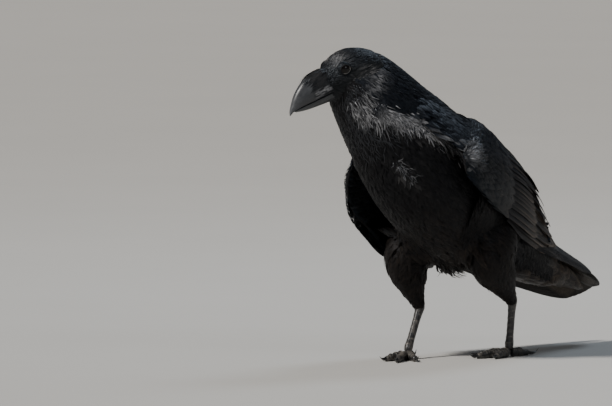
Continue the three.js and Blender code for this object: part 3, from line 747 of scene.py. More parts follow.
# scapulars: they run from the shoulder over the upper edge of each wing
for name, sg in (("left", 1), ("right", -1)):
    n = 150
    S = rng.uniform(4.2, 7.7, n)
    edge = np.interp(S, [4.2, 5.2, 6.2, 7.0, 7.7], [1.25, 1.12, 0.95, 0.6, 0.4])
    f = edge + rng.uniform(-0.12, 0.42, n)
    T = f if sg > 0 else math.pi - f
    root = on_body(S, T, depth_body(S))
    ok = np.linalg.norm(FULL.near(root)[0] - root, axis=1) < 5
    S, T, root = S[ok], T[ok], root[ok]
    n = len(S)
    fr = body_frame(S)
    lie = -fr[1] + fr[2] * sg * 0.30 + rng.normal(0, 0.05, (n, 3))
    L, W = np.interp(S, [4.2, 7.7], [58, 36]) * vary(n), np.interp(S, [4.2, 7.7], [9.5, 6.0]) * vary(n)
    lay_coat("scapulars_" + name, S, T, root, lie, L, W, 1.5, rng.uniform(4.6, 6.4, n), 11, 5, "round", 0.2, 0.06, 0.05,
             mix(BLACK, BLUE, 0.8 + 0.2 * rng.random(n)), 0.14 * rng.random(n), 0.1 * rng.random(n), PALE * 0.7, M_MANTLE, wave=0.02)

# breast: fine close feathers, ruffled in places, with pale painted highlights on the ruffled patch and along the cape's
# edge
glint = lambda s, t: 0.6 * bump_at(s, t, 7.6, -0.82, 0.40, 0.10)
S, T, root = sown(5.0, 11.2, lambda s: np.interp(s, [5, 8, 11], [4.3, 3.5, 2.6]), lambda s: np.interp(s, [5, 8, 11], [3.5, 2.8, 2.2]), lambda s, t: folded(t) <= cape(s) + 0.02)
n = len(S)
L, W = np.interp(S, [5, 8, 11], [29, 24, 13]) * vary(n), np.interp(S, [5, 8, 11], [3.9, 2.8, 1.8]) * vary(n)
g = glint(S, T)
# painted highlight: the glint and rim masks give pale tips and shafts on the ruffled patch and along the cape's edge,
# the latter on the left side only
rim = smooth(0.3, 0.0, cape(S) - folded(T)) * smooth(6.6, 7.2, S) * smooth(9.6, 9.0, S) * (np.cos(T) > 0)
lie = -body_frame(S)[1] + np.array([0, 0, -0.12]) + rng.normal(0, 0.05, (n, 3)) * (1 + 2 * g[:, None] + 1.5 * rim[:, None])
h1 = depth_body(S) * rng.uniform(0.84, 1.02, n) + g * rng.uniform(0, 3, n)
low = smooth(-0.3, -1.0, folded(T)) * smooth(7.5, 5.5, S)
lay_coat("coat_breast", S, T, root, lie, L, W, 1.0, h1, 8, 3, "oval", 0.3, 0.13, 0.14,
         mix(BLACK, BROWN, np.clip(0.08 + 0.6 * low, 0, 1) * rng.random(n)), 0.03 * rng.random(n) ** 2 + np.clip(0.5 * g + rim, 0, 1) * rng.uniform(0.0, 0.8, n),
         0.15 * g, mix(PALE * 1.5, WARM * 1.5, np.full(1, 0.3))[0], M_BODY, core=0.6)

# throat hackles: long, narrow and pointed, with pale painted highlights on the throat
S, T, root = sown(7.3, 11.15, lambda s: np.interp(s, [7, 9, 11], [4.6, 2.7, 2.2]), lambda s: np.interp(s, [7, 9, 11], [3.0, 1.7, 1.5]),
                  lambda s, t: (folded(t) <= cape(s) + 0.05) & (rng.random(len(s)) < smooth(7.9, 9.4, s) * 0.92))
n = len(S)
L, W = np.interp(S, [7, 8.5, 10, 11], [20, 24, 23, 14]) * vary(n, 0.25), np.interp(S, [7, 9, 11], [1.3, 1.05, 0.9]) * vary(n, 0.2)
shine = np.maximum(bump_at(S, T, 10.0, -0.72, 0.66, 0.36), bump_at(S, T, 9.4, -0.42, 0.55, 0.22))
shine = np.maximum(shine, bump_at(S, T, 10.25, -0.2, 0.35, 0.3))
lie = -body_frame(S)[1] + np.array([0, 0, -0.15]) + rng.normal(0, 0.08, (n, 3)) * (1 + 1.3 * shine[:, None])
h1 = depth_body(S) * rng.uniform(0.9, 1.12, n) + shine * rng.uniform(0, 2.2, n)
P = pelt(FULL, root, lie, L, W, 0.0, h1, 8, 3, "lance", 0.5, 0.3, 0.05, ragged=0.08)
# painted highlight: where shine is high the shafts and tips are pale
pale = 0.02 * rng.random(n) ** 2 + smooth(0.2, 0.75, shine) * rng.uniform(0.0, 0.95, n)
col = vane_tint(mix(BLACK, BLUE, 0.3 * np.ones(n)), 8, 3, pale, pale * 0.3, PALE * 2.3, 1.1, 0.75)
uv = np.stack([0.03 + 0.94 * ((T / (2 * math.pi)) % 1), 0.03 + 0.94 * S / 11.5], -1)
coat.append((assemble("coat_hackles", P, col, uv, M_HACKLE, np.stack([L, W], -1)), "plumage"))

# the loose fringe along the cape's edge, from the throat to the bend of the wing, with pale painted highlights, fainter
# on the right side
n = 2600
S = rng.uniform(6.55, 9.5, n)
f = cape(S) + rng.normal(0.02, 0.075, n)
T = np.where(rng.random(n) < 0.62, f, math.pi - f)
lay_coat("fringe", S, T, on_body(S, T, depth_body(S)), -body_frame(S)[1] + np.array([0, 0, -0.3]) + rng.normal(0, 0.16, (n, 3)), rng.uniform(10, 19, n), rng.uniform(0.7, 1.25, n), 2.5, depth_body(S) + rng.uniform(-0.5, 3.0, n),
         7, 3, "lance", 0.4, 0.3, 0.1, mix(BLACK, BLUE, rng.random(n)), rng.uniform(0, 0.95, n) * np.where(np.cos(T) > 0, 1, 0.35) * smooth(9.5, 9.0, S), 0.3 * rng.random(n), PALE * 2.3, M_HACKLE, wave=0.06, core=0.7)

# belly and flanks
S, T, root = sown(1.6, 5.3, lambda s: np.interp(s, [1.5, 5], [7, 5.4]), lambda s: np.interp(s, [1.5, 5], [6.4, 4.8]), lambda s, t: folded(t) <= cape(s) + 0.02, slack=11)
n = len(S)
L, W = np.interp(S, [1.5, 5], [42, 33]) * vary(n), np.interp(S, [1.5, 5], [5.8, 4.4]) * vary(n)
tuft = smooth(0.2, 0.6, bump_at(S, T, 4.6, -math.pi / 2, 0.9, 0.6))
fold = np.exp(-((folded(T) + 0.98) / 0.12) ** 2) * smooth(3.8, 4.6, S)
low = smooth(-0.2, -1.0, folded(T))
lie = -body_frame(S)[1] + np.array([0, 0, -0.15]) + rng.normal(0, 0.06, (n, 3)) + np.array([0, -0.1, -0.55]) * (tuft * rng.random(n))[:, None]
h1 = depth_body(S) * rng.uniform(0.82, 1.0, n) + tuft * rng.uniform(0, 6, n) + fold * rng.uniform(0.5, 3, n)
lay_coat("coat_belly", S, T, root, lie, L, W, -0.6, h1, 8, 3, "oval", 0.28, 0.14, 0.16,
         mix(BLACK, BROWN, np.clip((0.2 + 0.6 * low) * rng.uniform(0.5, 1.1, n), 0, 1)), 0.1 * rng.random(n) ** 2 + 0.2 * fold, 0.1 * rng.random(n) * low, WARM * 0.8, M_BODY, stay=9.0)

# flank plumes over the tops of the legs, and the shaggy vent
for name, sg in (("left", 1), ("right", -1)):
    n = 560
    S = rng.uniform(2.3, 5.8, n)
    f = rng.uniform(-1.35, -0.15, n)
    T = f if sg > 0 else math.pi - f
    root = on_body(S, T, depth_body(S))
    ok = np.linalg.norm(SURF.near(root)[0] - root, axis=1) < 16
    S, T, root = S[ok], T[ok], root[ok]
    n = len(S)
    fr = body_frame(S)
    lie = -fr[1] + np.array([0, 0.05, -0.75]) + rng.normal(0, 0.06, (n, 3))
    lay_coat("plumes_" + name, S, T, root, lie, np.interp(folded(T), [-1.3, -0.7, -0.1], [42, 56, 60]) * vary(n, 0.2), 4.4 * vary(n), 0.5, rng.uniform(3.4, 6.2, n), 13, 3, "oval", 0.3, 0.07, 0.12,
             mix(BLACK, BROWN, rng.uniform(0.1, 0.5, n)), 0.08 * rng.random(n) ** 2, 0.06 * rng.random(n), WARM, M_BODY, surf=SURF, wave=0.025)

# undertail coverts: broad, layered, with pale rims and tips painted as highlights
S, T = stagger(0.03, 2.9, on_body, lambda s: 11.0, lambda s: 7.0, t0=-math.pi, t1=0.15, jitter=0.2)
T = T + rng.normal(0, 0.03, len(T))
root = on_body(S, T, depth_body(S))
n = len(S)
lie = -body_frame(S)[1] + rng.normal(0, 0.02, (n, 3))
L, W = np.interp(S, [0, 2.9], [58, 58]) * vary(n, 0.1), np.interp(S, [0, 2.9], [7.0, 9.0]) * vary(n, 0.1)
lay_coat("undertail", S, T, root, lie, L, W, -0.5, depth_body(S) * rng.uniform(0.85, 1.1, n), 12, 5, "round", 0.3, 0.04, 0.04,
         mix(BLACK, BROWN, rng.uniform(0.45, 1.0, n)), rng.uniform(0.2, 0.8, n), rng.uniform(0.1, 0.5, n), WARM * 1.6, M_BODY, surf=UNDER, wave=0.008)

# a ruffled place on the side of the breast, its pale tips painted highlights
n = 60
S, T = rng.uniform(7.15, 7.75, n), -0.80 + rng.normal(0, 0.05, n)
lay_coat("ruffle", S, T, on_body(S, T, depth_body(S)), -body_frame(S)[1] + rng.normal(0, 0.28, (n, 3)), rng.uniform(7, 12, n), rng.uniform(0.6, 1.1, n), 4.0, depth_body(S) + rng.uniform(0.2, 2.5, n),
         8, 3, "lance", 0.4, 0.4, 0.1, mix(BLACK, BLUE, rng.random(n)), rng.uniform(0.0, 0.9, n) ** 1.3, 0.2 * rng.random(n), PALE * 0.85, M_HACKLE, wave=0.1, core=0.6)

# wisps that hang from the belly between the legs
n = 150
clump = rng.random(n) < 0.45
S = np.where(clump, rng.normal(4.5, 0.12, n), rng.uniform(4.0, 4.95, n))
T = np.where(clump, -1.86 + rng.normal(0, 0.09, n), -math.pi / 2 - 0.12 + rng.normal(0, 0.28, n))
lay_coat("wisps", S, T, on_body(S, T, depth_body(S)), -body_frame(S)[1] * 0.75 + np.array([0, 0, -0.7]) + rng.normal(0, 0.22, (n, 3)), np.where(clump, rng.uniform(22, 34, n), rng.uniform(14, 24, n)), rng.uniform(1.2, 2.4, n), 3.0, depth_body(S) + np.where(clump, rng.uniform(2, 12, n), rng.uniform(0, 5, n)),
         9, 3, "lance", 0.3, 0.3, 0.1, mix(BLACK, BROWN, 0.6 * rng.random(n)), 0.25 * rng.random(n) ** 2, 0.1 * rng.random(n), WARM, M_BODY, wave=0.06)


# head
NH = len(HEAD) - 1
S, T = stagger(0.6, NH - 0.15, lambda s, t: on_head(s, t), lambda s: np.interp(s, [0, 4, 8], [2.7, 2.1, 1.5]), lambda s: np.interp(s, [0, 4, 8], [2.1, 1.6, 1.2]))
root = on_head(S, T, depth_head(S))
ok = np.linalg.norm(SURF.near(root)[0] - root, axis=1) < 3.5
for sg in (1, -1):
    ok &= np.linalg.norm(root - in_head(0, EYE_SIDE * sg + 4 * sg, 0), axis=1) > 6.1
S, T, root = S[ok], T[ok], root[ok]
L = np.interp(S, [0, 3, 6, 8], [14, 10.5, 7, 5]) * rng.uniform(0.85, 1.2, len(S))
W = np.interp(S, [0, 3, 6, 8], [1.7, 1.35, 1.0, 0.8]) * rng.uniform(0.85, 1.2, len(S))
lie = -H_F + H_U * (-0.12 * np.cos(T) ** 2)[:, None] + rng.normal(0, 0.07, (len(S), 3))
for sg in (1, -1):  # part round the eye, as a stream parts round a post
    dd = root - in_head(0, EYE_SIDE * sg, 0)
    side = dd @ (H_S * sg)
    flat = dd - side[:, None] * (H_S * sg)
    far = np.linalg.norm(flat, axis=1) + 1e-6
    out = flat / far[:, None]
    k = np.minimum(1.0, (7.4 / far) ** 2) * (side > 0)
    lie += k[:, None] * (2 * (out @ H_F)[:, None] * out - H_F) + (0.5 * smooth(12, 6.5, far) * (side > 0))[:, None] * out
h1 = depth_head(S) * rng.uniform(0.85, 1.1, len(S))
tt = np.angle(np.exp(1j * T))
# painted highlight: the ear and brow masks below put pale streaks on the cheek and ear coverts and over the brow; the
# ear mask also raises those feathers
ear_glint = sum(np.exp(-((S - np.interp(u, [-1.2, -0.9, 0.1, 0.4], [3.6, 3.1, 3.2, 3.6])) / 0.55) ** 2) * smooth(-1.4, -1.1, u) * smooth(0.3, -0.1, u)
          + 0.4 * np.exp(-((S - 4.5) / 1.1) ** 2 - ((u + 0.45) / 0.4) ** 2) for u in (tt, np.where(tt > 0, math.pi - tt, -math.pi - tt)))
brow_glint = bump_at(S, T, 5.3, 1.15, 0.8, 0.42) + bump_at(S, T, 5.3, math.pi - 1.15, 0.8, 0.42)
h1 = h1 + ear_glint * rng.uniform(0, 1.6, len(S))
P = pelt(SURF, root, lie, L, W, -0.3, h1, 6, 3, "lance", 0.35, 0.12, 0.03)
chin = smooth(-0.2, -0.8, np.sin(T))
pale = 0.05 * rng.random(len(S)) ** 2 + 0.1 * rng.random(len(S)) * chin + 0.85 * np.clip(ear_glint, 0, 1) * rng.random(len(S)) ** 1.3 + 0.8 * brow_glint * rng.random(len(S)) ** 1.3
col = vane_tint(mix(BLACK, BLUE, 0.35 * smooth(0, 0.6, np.sin(T))), 6, 3, pale, pale * 0.3, mix(PALE * 1.7, WARM * 1.7, np.full(1, 0.25))[0], core=0.55)
uv = np.stack([0.03 + 0.94 * ((T / (2 * math.pi)) % 1), 0.03 + 0.94 * S / 8.5], -1)
coat.append((assemble("coat_head", P, col, uv, M_HEAD, np.stack([L, W], -1)), "plumage"))

# feathered legs
for name, leg in LEGS.items():
    S, T = stagger(0.12, 1.0, lambda s, t: on_tibia(leg, s, t), lambda s: 3.6, lambda s: 3.4)
    root = on_tibia(leg, S, T, np.interp(S, [0, 0.6, 1], [6, 4, 2.2]))
    ok = np.linalg.norm(SURF.near(root)[0] - root, axis=1) < 11
    S, T, root = S[ok], T[ok], root[ok]
    lie = tube_frame(tibia_points(leg), S)[1] + rng.normal(0, 0.045, (len(S), 3))
    L = np.interp(S, [0, 0.5, 1], [28, 21, 10]) * rng.uniform(0.85, 1.15, len(S))
    W = np.interp(S, [0, 0.5, 1], [5, 3.6, 1.9]) * rng.uniform(0.85, 1.15, len(S))
    h1 = np.interp(S, [0, 0.6, 1], [6, 4, 2.2]) * rng.uniform(0.85, 1.1, len(S))
    P = pelt(SURF, root, lie, L, W, -0.5, h1, 7, 3, "oval", 0.3, 0.12, 0.03)
    base = mix(BLACK, BROWN, 0.2 + 0.5 * rng.random(len(S)))
    col = vane_tint(base, 7, 3, 0.1 * rng.random(len(S)), None, WARM * 0.6)
    uv = np.stack([0.03 + 0.94 * ((T / (2 * math.pi)) % 1), 0.03 + 0.94 * S], -1)
    coat.append((assemble("coat_leg_" + name, P, col, uv, M_BODY, np.stack([L, W], -1)), "plumage"))


# ------------------------------------------------------------------ wings
def wing_vanes(name, s0, a0, s1, a1, W, h0, h1, K, C, kind="round", cup=0.12, bow=0.0, skew=0.0, tilt=None, within=(-9.0, 9.0)):
    """vanes in the sheet's own coordinates, from (s0, a0) to (s1, a1)"""
    N = len(s0)
    t = np.linspace(0, 1, K)
    x = np.linspace(-1, 1, C)
    s = s0[:, None] + (s1 - s0)[:, None] * t
    a = a0[:, None] + (a1 - a0)[:, None] * t
    W = np.broadcast_to(W, (N,))
    n = len(WING[name]) - 1
    sc = np.clip(s, 0, n)
    low, high, along, up, out, bulge, thick = wing_frame(name, sc)
    chord = np.linalg.norm(high - low, axis=-1)
    w = outline(kind, t)[None] * W[:, None]
    P = np.empty((N, K, C, 3))
    lift = h0[:, None] + (h1 - h0)[:, None] * smooth(0, 0.7, t)[None] + bow * np.sin(t * math.pi)[None]
    # beyond the sheet's end the vanes run on in a straight line
    step = np.linalg.norm(on_wing(name, np.full(1, n - 0.5), np.full(1, 0.5)) - on_wing(name, np.full(1, n * 1.0), np.full(1, 0.5))) / 0.5
    over = np.maximum(0, s - n) * step
    for c in range(C):
        aa = a + (x[c] + skew * (1 - x[c] ** 2)) * w / chord
        aa = np.clip(aa, *within)
        ac = np.clip(aa, 0.0, 1.0)
        base = on_wing(name, sc, ac, lift - cup * w * x[c] ** 2 + (0 if tilt is None else tilt[:, None] * x[c] * w))
        base += up * ((aa - ac) * chord)[..., None] - out * (np.abs(aa - ac) * chord * 0.9)[..., None]
        P[:, :, c] = base + along * over[..., None]
    return P


def shell(name, S, T):
    low, high, along, up, out, bulge, thick = wing_frame(name, S)
    lift = (thick * 0.5 - 0.5) * np.cos(T) - thick * 0.5 - 2.2
    return on_wing(name, S, 0.5 + 0.44 * np.sin(T), lift)


def wing_set(name):
    sg = 1 if name == "left" else -1
    small, big = [], []
    n = len(WING[name]) - 1
    ss = np.linspace(0, n, 200)
    cum = np.concatenate([[0], np.cumsum(np.linalg.norm(np.diff(on_wing(name, ss, np.full(200, 0.5)), axis=0), axis=1))])

    def s_of(l):
        return np.where(np.asarray(l) > cum[-1], n + (np.asarray(l) - cum[-1]) / 30.0, np.interp(l, cum, ss))

    def l_of(s):
        return np.interp(s, ss, cum)

    def add(bucket, s0, a0, s1, a1, W, h0, h1, K, C, kind, base, pale, tipc=WARM, core=0.0, **kw):
        P = wing_vanes(name, s0, a0, s1, a1, W, h0, h1, K, C, kind, **kw)
        col = vane_tint(base, K, C, pale, pale * 0.6, tipc, 3.4 if kind == "blade" else 1.6, core)
        lens = np.linalg.norm(np.diff(P[:, :, C // 2], axis=1), axis=-1).sum(1)
        uv = np.stack([0.03 + 0.94 * s0 / 7.5, 0.03 + 0.94 * np.clip(a0, 0, 1)], -1)
        bucket.append((P, col, uv, np.stack([lens, np.broadcast_to(W, (len(s0),))], -1)))

    # bend of the wing, lower edge and inner face: short feathers all round
    S, T = stagger(0.02, 5.2, lambda s, t: shell(name, s, t), lambda s: float(np.interp(s, [0, 1, 5], [3.6, 4.6, 6.5])), lambda s: float(np.interp(s, [0, 1, 5], [3.4, 4.4, 6])))
    root = shell(name, S, T)
    ok = ((np.cos(T) < 0.3) | (S < 0.9)) & (np.linalg.norm(FULL.near(root)[0] - root, axis=1) < 2.6)
    S, T, root = S[ok], T[ok], root[ok]
    m = len(S)
    fr = wing_frame(name, S)
    lie = fr[2] + rng.normal(0, 0.06, (m, 3))
    L, W = np.interp(S, [0, 1, 3], [10, 15, 24]) * vary(m), np.interp(S, [0, 1, 3], [2.3, 3.2, 5]) * vary(m)
    P = pelt(FULL, root, lie, L, W, -0.4, rng.uniform(2.2, 3.2, m), 7, 3, "oval", 0.25, 0.1, 0.02, ragged=0.06)
    # painted highlight: pale glints near the bend, on the left wing only
    bright = np.exp(-((S - 0.3) / 0.55) ** 2) * (np.cos(T) > -0.3) if sg > 0 else 0 * S
    col = vane_tint(mix(BLACK, BLUE, 0.4 * rng.random(m)), 7, 3, 0.03 * rng.random(m) + 0.5 * bright * rng.random(m), 0.03 * rng.random(m) + 0.2 * bright * rng.random(m), PALE * 2.0, core=0.7)
    uv = np.stack([0.03 + 0.94 * ((T / (2 * math.pi)) % 1), 0.03 + 0.94 * S / 7.5], -1)
    ob = assemble("marginals_" + name, P, col, uv, M_COVERT, np.stack([L, W], -1))
    coat.append((ob, "plumage"))

    # a tuft that opens out from the bend, its pale streaks painted highlights, dimmer on the right wing
    m = 420 if sg > 0 else 120
    sw, aw = rng.uniform(0.12, 1.25, m), np.clip(rng.normal(0.62, 0.17, m), 0.25, 0.95)
    at = on_wing(name, sw, aw, np.full(m, 0.4))
    hub = on_wing(name, np.full(1, -0.15), np.full(1, 0.70))
    fr = wing_frame(name, sw)
    L, W = rng.uniform(8, 15, m), rng.uniform(0.7, 1.2, m)
    P = pelt(FULL, at, unit(at - hub) * 0.9 + fr[2] * 0.5 + rng.normal(0, 0.12, (m, 3)), L, W, 3.0, rng.uniform(3.2, 5.2, m), 7, 3, "lance", 0.4, 0.25, 0.05)
    lit = np.exp(-((sw - 0.45) / 0.5) ** 2 - ((aw - 0.62) / 0.2) ** 2) * (1 if sg > 0 else 0.25)
    col = vane_tint(mix(BLACK, BLUE, rng.random(m)), 7, 3, np.clip(lit * 1.15, 0, 1) * rng.uniform(0.05, 1.0, m), None, PALE * 2.5, core=0.75)
    ob = assemble("tuft_" + name, P, col, np.stack([0.03 + 0.94 * sw / 7.5, 0.03 + 0.94 * aw], -1), M_HACKLE, np.stack([L, W], -1))
    coat.append((ob, "plumage"))

    # lesser and median coverts in rows, larger towards the back
    l, row = 2.0, 0
    while l < 84:
        f = l / 84
        Ls = np.interp(f, [0, 0.4, 0.7, 1], [15, 23, 34, 44])
        Wd = np.interp(f, [0, 0.4, 0.7, 1], [3.0, 4.0, 5.4, 6.8])
        s = float(s_of(l))
        low, high = wing_frame(name, np.full(1, s))[:2]
        chord = np.linalg.norm(high - low) * 1.08
        m = max(4, int(chord / (Wd * 1.3)))
        a0 = (np.arange(m) + 0.5 * (row % 2) + rng.uniform(-0.16, 0.16, m)) / m * 1.06 - 0.03
        l0 = l + rng.uniform(-1.5, 1.5, m)
        s0, s1 = s_of(l0), s_of(l0 + Ls * rng.uniform(0.9, 1.12, m))
        base = mix(BLUE, BLACK, np.clip(rng.uniform(0.2, 0.9, m) * (0.3 + 0.7 * (a0 < 0.5)) + 0.6 * f, 0, 1))
        # painted highlights: the sheen mask gives pale bluish tips near the wing's upper edge and the wrist mask pale
        # glints near the bend, both weaker on the right wing
        sheen = smooth(0.5, 0.85, a0) * smooth(6, 26, l) * (1.0 if sg > 0 else 0.3)
        base = mix(base, BROWN, np.clip(0.5 * (f - 0.35) * (1.15 - a0) * rng.random(m), 0, 0.8))
        wrist_glint = smooth(30, 6, l) * np.exp(-((a0 - 0.62) / 0.3) ** 2) * (1.0 if sg > 0 else 0.2)
        add(small, s0, a0, s1, a0 - 0.01, Wd * rng.uniform(0.92, 1.08, m), np.full(m, -3.2), rng.uniform(-0.1, 0.45, m), 9, 5, "oval" if l < 50 else "round", base,
            0.02 + 0.04 * rng.random(m) + 0.2 * f * rng.random(m) ** 2 + 0.5 * sheen * rng.random(m) ** 2 + 0.35 * wrist_glint * rng.random(m), WARM * (0.5 + 0.6 * f) + np.array([0.5, 0.68, 0.9]) * PALE * (1.6 * wrist_glint + 1.0 * sheen)[:, None, None, None],
            core=0.25 + 0.4 * float(l < 24), tilt=rng.normal(-0.025, 0.02, m), cup=0.06, within=(-0.012, 1.05))
        l += np.interp(f, [0, 0.4, 0.7, 1], [4.4, 6.2, 9.5, 13])
        row += 1

    def blades(m, a_0, a_1, s_0, tips, W, lift0, lift1, base, pale, K=26, kind="blade", tilt=-0.2):
        q = np.linspace(0, 1, m)
        a0 = a_0 + (a_1 - a_0) * q + rng.uniform(-0.006, 0.006, m)
        s1 = np.interp(q, np.linspace(0, 1, len(tips)), tips) + rng.uniform(-0.09, 0.09, m)
        w = W * rng.uniform(0.92, 1.06, m)
        add(big, np.full(m, s_0) + 0 * q, a0, s1, a0 + rng.uniform(-0.012, 0.012, m), w, np.full(m, lift0), lift1 + rng.uniform(-0.35, 0.5, m), K, 7, kind, base(m), pale(m), WARM * 2.7,
            tilt=np.full(m, tilt) + rng.normal(0, 0.03, m))

    # lowest layer: secondaries; then shorter ones over them, whose tips step up to the tertials
    dark = lambda m: mix(np.broadcast_to(BLACK, (m, 3)), BROWN, rng.uniform(0.0, 0.3, m))
    blue = lambda m: mix(np.broadcast_to(BLUE * 0.9, (m, 3)), BROWN, rng.uniform(0, 0.3, m))
    blades(18, 0.03, 0.97, 3.3, [7.1, 7.0, 6.7], 8.5, -4.2, -3.0, dark, lambda m: rng.uniform(0.3, 0.75, m))
    blades(10, 0.03, 0.36, 3.0, [7.0, 5.9], 4.4, -3.4, -1.6, dark, lambda m: rng.uniform(0.4, 0.95, m))
    blades(10, 0.30, 0.62, 2.9, [6.25, 5.25], 4.8, -2.8, -0.5, dark, lambda m: rng.uniform(0.3, 0.85, m))
    blades(9, 0.52, 0.97, 2.4, [5.35, 4.9], 7.0, -2.4, 0.6, blue, lambda m: rng.uniform(0.15, 0.4, m))
    # greater coverts
    blades(15, 0.04, 0.62, 2.2, [5.0, 4.5, 4.1], 4.6, -3.0, 0.5, lambda m: mix(dark(m), BLUE, rng.uniform(0.2, 0.8, m)), lambda m: rng.uniform(0.25, 0.6, m), K=18)

    # a few loose tips that stand clear of the rest, worn pale along their edges
    loose = np.array([[5.28, 0.60, 3.2], [5.45, 0.44, 3.4], [5.9, 0.36, 2.2], [6.35, 0.29, 3.0], [6.7, 0.16, 1.8], [7.08, 0.05, 1.4]])
    m = len(loose)
    add(big, loose[:, 0] - 2.3, loose[:, 1] + 0.03, loose[:, 0], loose[:, 1], 4.6 * vary(m), np.full(m, -2.0), loose[:, 2], 26, 7, "blade", dark(m), rng.uniform(0.5, 0.95, m), WARM * 3.0, tilt=rng.normal(-0.28, 0.05, m))

    def emit(bucket, nm, mat, thick):
        byshape = {}
        for b in bucket:
            byshape.setdefault(b[0].shape[1:3], []).append(b)
        for k, (shape, items) in enumerate(sorted(byshape.items())):
            P = np.concatenate([i[0] for i in items])
            ob = assemble(f"{nm}_{k}", P, np.concatenate([i[1] for i in items]), np.concatenate([i[2] for i in items]), mat,
                          np.concatenate([i[3] for i in items]), thick)
            coat.append((ob, "quill"))
            made.append(ob)

    made = []
    emit(small, "coverts_" + name, M_COVERT, 0)
    emit(big, "remiges_" + name, M_WING, 0)

    # primaries: a long narrow stack
    pr = {k: np.array(v, float) for k, v in PRIMARY[name].items()}
    m, K, C = 8, 30, 7
    out = np.empty((m, K, C, 3))
    for k in range(m):
        q = k / (m - 1)
        r, tp = pr["root"] + pr["rise"] * q, pr["tip"] + pr["back"] * q
        out[k] = blade(r, tp, np.array([sg * 0.8, 0.15, 0.55]), 8.5 + 2 * q, K, C, bow=5, blunt=0.22, lift=-0.35 * (m - k) + 1.2)
    base = np.broadcast_to(mix(BLACK, BLUE, np.full(1, 0.6)), (m, 3))
    col = vane_tint(base, K, C, 0.12 + 0.2 * rng.random(m), None, WARM * 0.7)
    uv = np.stack([np.full(m, 0.9), np.linspace(0.1, 0.9, m)], -1)
    ob = assemble("primaries_" + name, out, col, uv, M_QUILL if sg > 0 else M_UNDER, np.tile([210.0, 10.0], (m, 1)), 0.35, M_UNDER)
    coat.append((ob, "quill"))
    made.append(ob)
    return made


def bridge(name, tag, p0, n0, p1, n1, on, u0, L, W, swell, lift, base, pale, rim, root_uv, mat, K=8, C=3):
    """small feathers in rows on the surface spanned between places p0 on one mass and p1 on another"""
    mid = (p0 + p1) / 2 + unit(n0 + n1) * swell[:, None]
    span = np.linalg.norm(p1 - p0, axis=1) * 1.06
    tau = np.linspace(0, 1, K)
    t = u0[:, None] + (L / span)[:, None] * tau
    ti = np.clip(t, 0, 1)[..., None]
    c = (1 - ti) ** 2 * p0[:, None] + 2 * ti * (1 - ti) * mid[:, None] + ti ** 2 * p1[:, None]
    c = c + on[:, None] * (np.maximum(t - 1, 0) * span[:, None])[..., None]
    tan = unit(np.gradient(c, axis=1))
    nn = unit((1 - ti) * n0[:, None] + ti * n1[:, None])
    side = unit(np.cross(nn, tan))
    x = np.linspace(-1, 1, C)
    w = outline("oval", tau)[None] * W[:, None]
    roll = rng.normal(0, 0.10, len(L))[:, None, None]
    h = (-2.8 + (2.8 + lift)[:, None] * smooth(0, 0.8, tau)[None])[:, :, None]
    P = c[:, :, None] + side[:, :, None] * (x * w[..., None])[..., None] + nn[:, :, None] * (h - 0.25 * w[..., None] * x ** 2 + roll * w[..., None] * x)[..., None]
    col = vane_tint(base, K, C, pale, pale * 0.4, rim, core=0.5)
    ob = assemble(tag, P, col, root_uv, mat, np.stack([L, W], -1))
    coat.append((ob, "plumage"))


for name, sg in (("left", 1), ("right", -1)):
    # shoulder cape: the nape's feathers go on over the front of the wing, with pale painted highlights along its lower
    # edge
    n = 1500 if sg > 0 else 900
    q, r, u0 = rng.random(n), rng.random(n), rng.uniform(-0.12, 1.0, n)
    S = (8.35 if sg > 0 else 7.7) - (2.6 if sg > 0 else 1.9) * q
    f = cape(S) + 0.06 + (np.interp(S, [5.7, 7, 8.3], [1.15, 1.0, 0.75]) - cape(S)) * r
    T = f if sg > 0 else math.pi - f
    s = np.clip((0.10 if sg > 0 else 0.5) + 2.9 * q, 0.05, 3.4)
    a = np.interp(q, [0, 0.25, 1], [0.84, 0.72, 0.62])
    a = a + (1.0 - a) * r
    glint_hem = smooth(0.16, 0.0, r) * smooth(0.6, 0.1, q)
    p0 = on_body(S, T, depth_body(S) * 0.25)
    n0 = FULL.near(p0)[1]
    wf = wing_frame(name, s)
    bridge(name, "cape_" + name, p0, n0, on_wing(name, s, a, np.full(n, 1.2)), wf[4], wf[2], u0, np.interp(q, [0, 1], [19, 27]) * vary(n), np.interp(q, [0, 1], [2.7, 4.4]) * vary(n),
           np.interp(q, [0, 1], [5.0, 3.0]) * (1 if sg > 0 else 0.5), rng.uniform(-0.3, 0.6, n) + 1.6 * glint_hem * rng.random(n),
           mix(BLACK, BLUE, 0.4 + 0.4 * rng.random(n)), 0.03 * rng.random(n) + 0.7 * glint_hem * rng.random(n), PALE * 1.8,
           np.stack([0.03 + 0.94 * ((T / (2 * math.pi)) % 1), 0.03 + 0.94 * S / 11.5], -1), M_NAPE)
    # flank feathers that close the space between the wing's lower edge and the body
    n = 2200
    q, r, u0 = rng.random(n), rng.random(n), rng.uniform(-0.1, 0.85, n)
    s = 1.8 + 4.9 * q
    p0 = on_wing(name, s, np.full(n, 0.10), np.full(n, -5.5))
    wf = wing_frame(name, s)
    ys = np.array([b[1] for b in BODY])[::-1]
    Sb = np.interp(p0[:, 1] + 34, ys, np.arange(len(BODY))[::-1])
    f = np.interp(q, [0, 1], [-0.75, -0.55]) - 0.2 * r
    T = f if sg > 0 else math.pi - f
    p1 = on_body(Sb, T, np.full(n, -0.5))
    n1 = SURF.near(p1)[1]
    down = unit(p1 - p0)
    nn = unit(wf[4] - np.array([0, 0, 0.3]))
    bridge(name, "flank_" + name, p0, nn, p1, n1, down, u0, 24 * vary(n), 3.0 * vary(n), np.full(n, 5.0), rng.uniform(-0.3, 0.5, n),
           mix(BLACK, BROWN, 0.25 * rng.random(n)), 0.06 * rng.random(n) ** 2, WARM * 0.8,
           np.stack([0.03 + 0.94 * ((T / (2 * math.pi)) % 1), 0.03 + 0.94 * Sb / 11.5], -1), M_BODY)


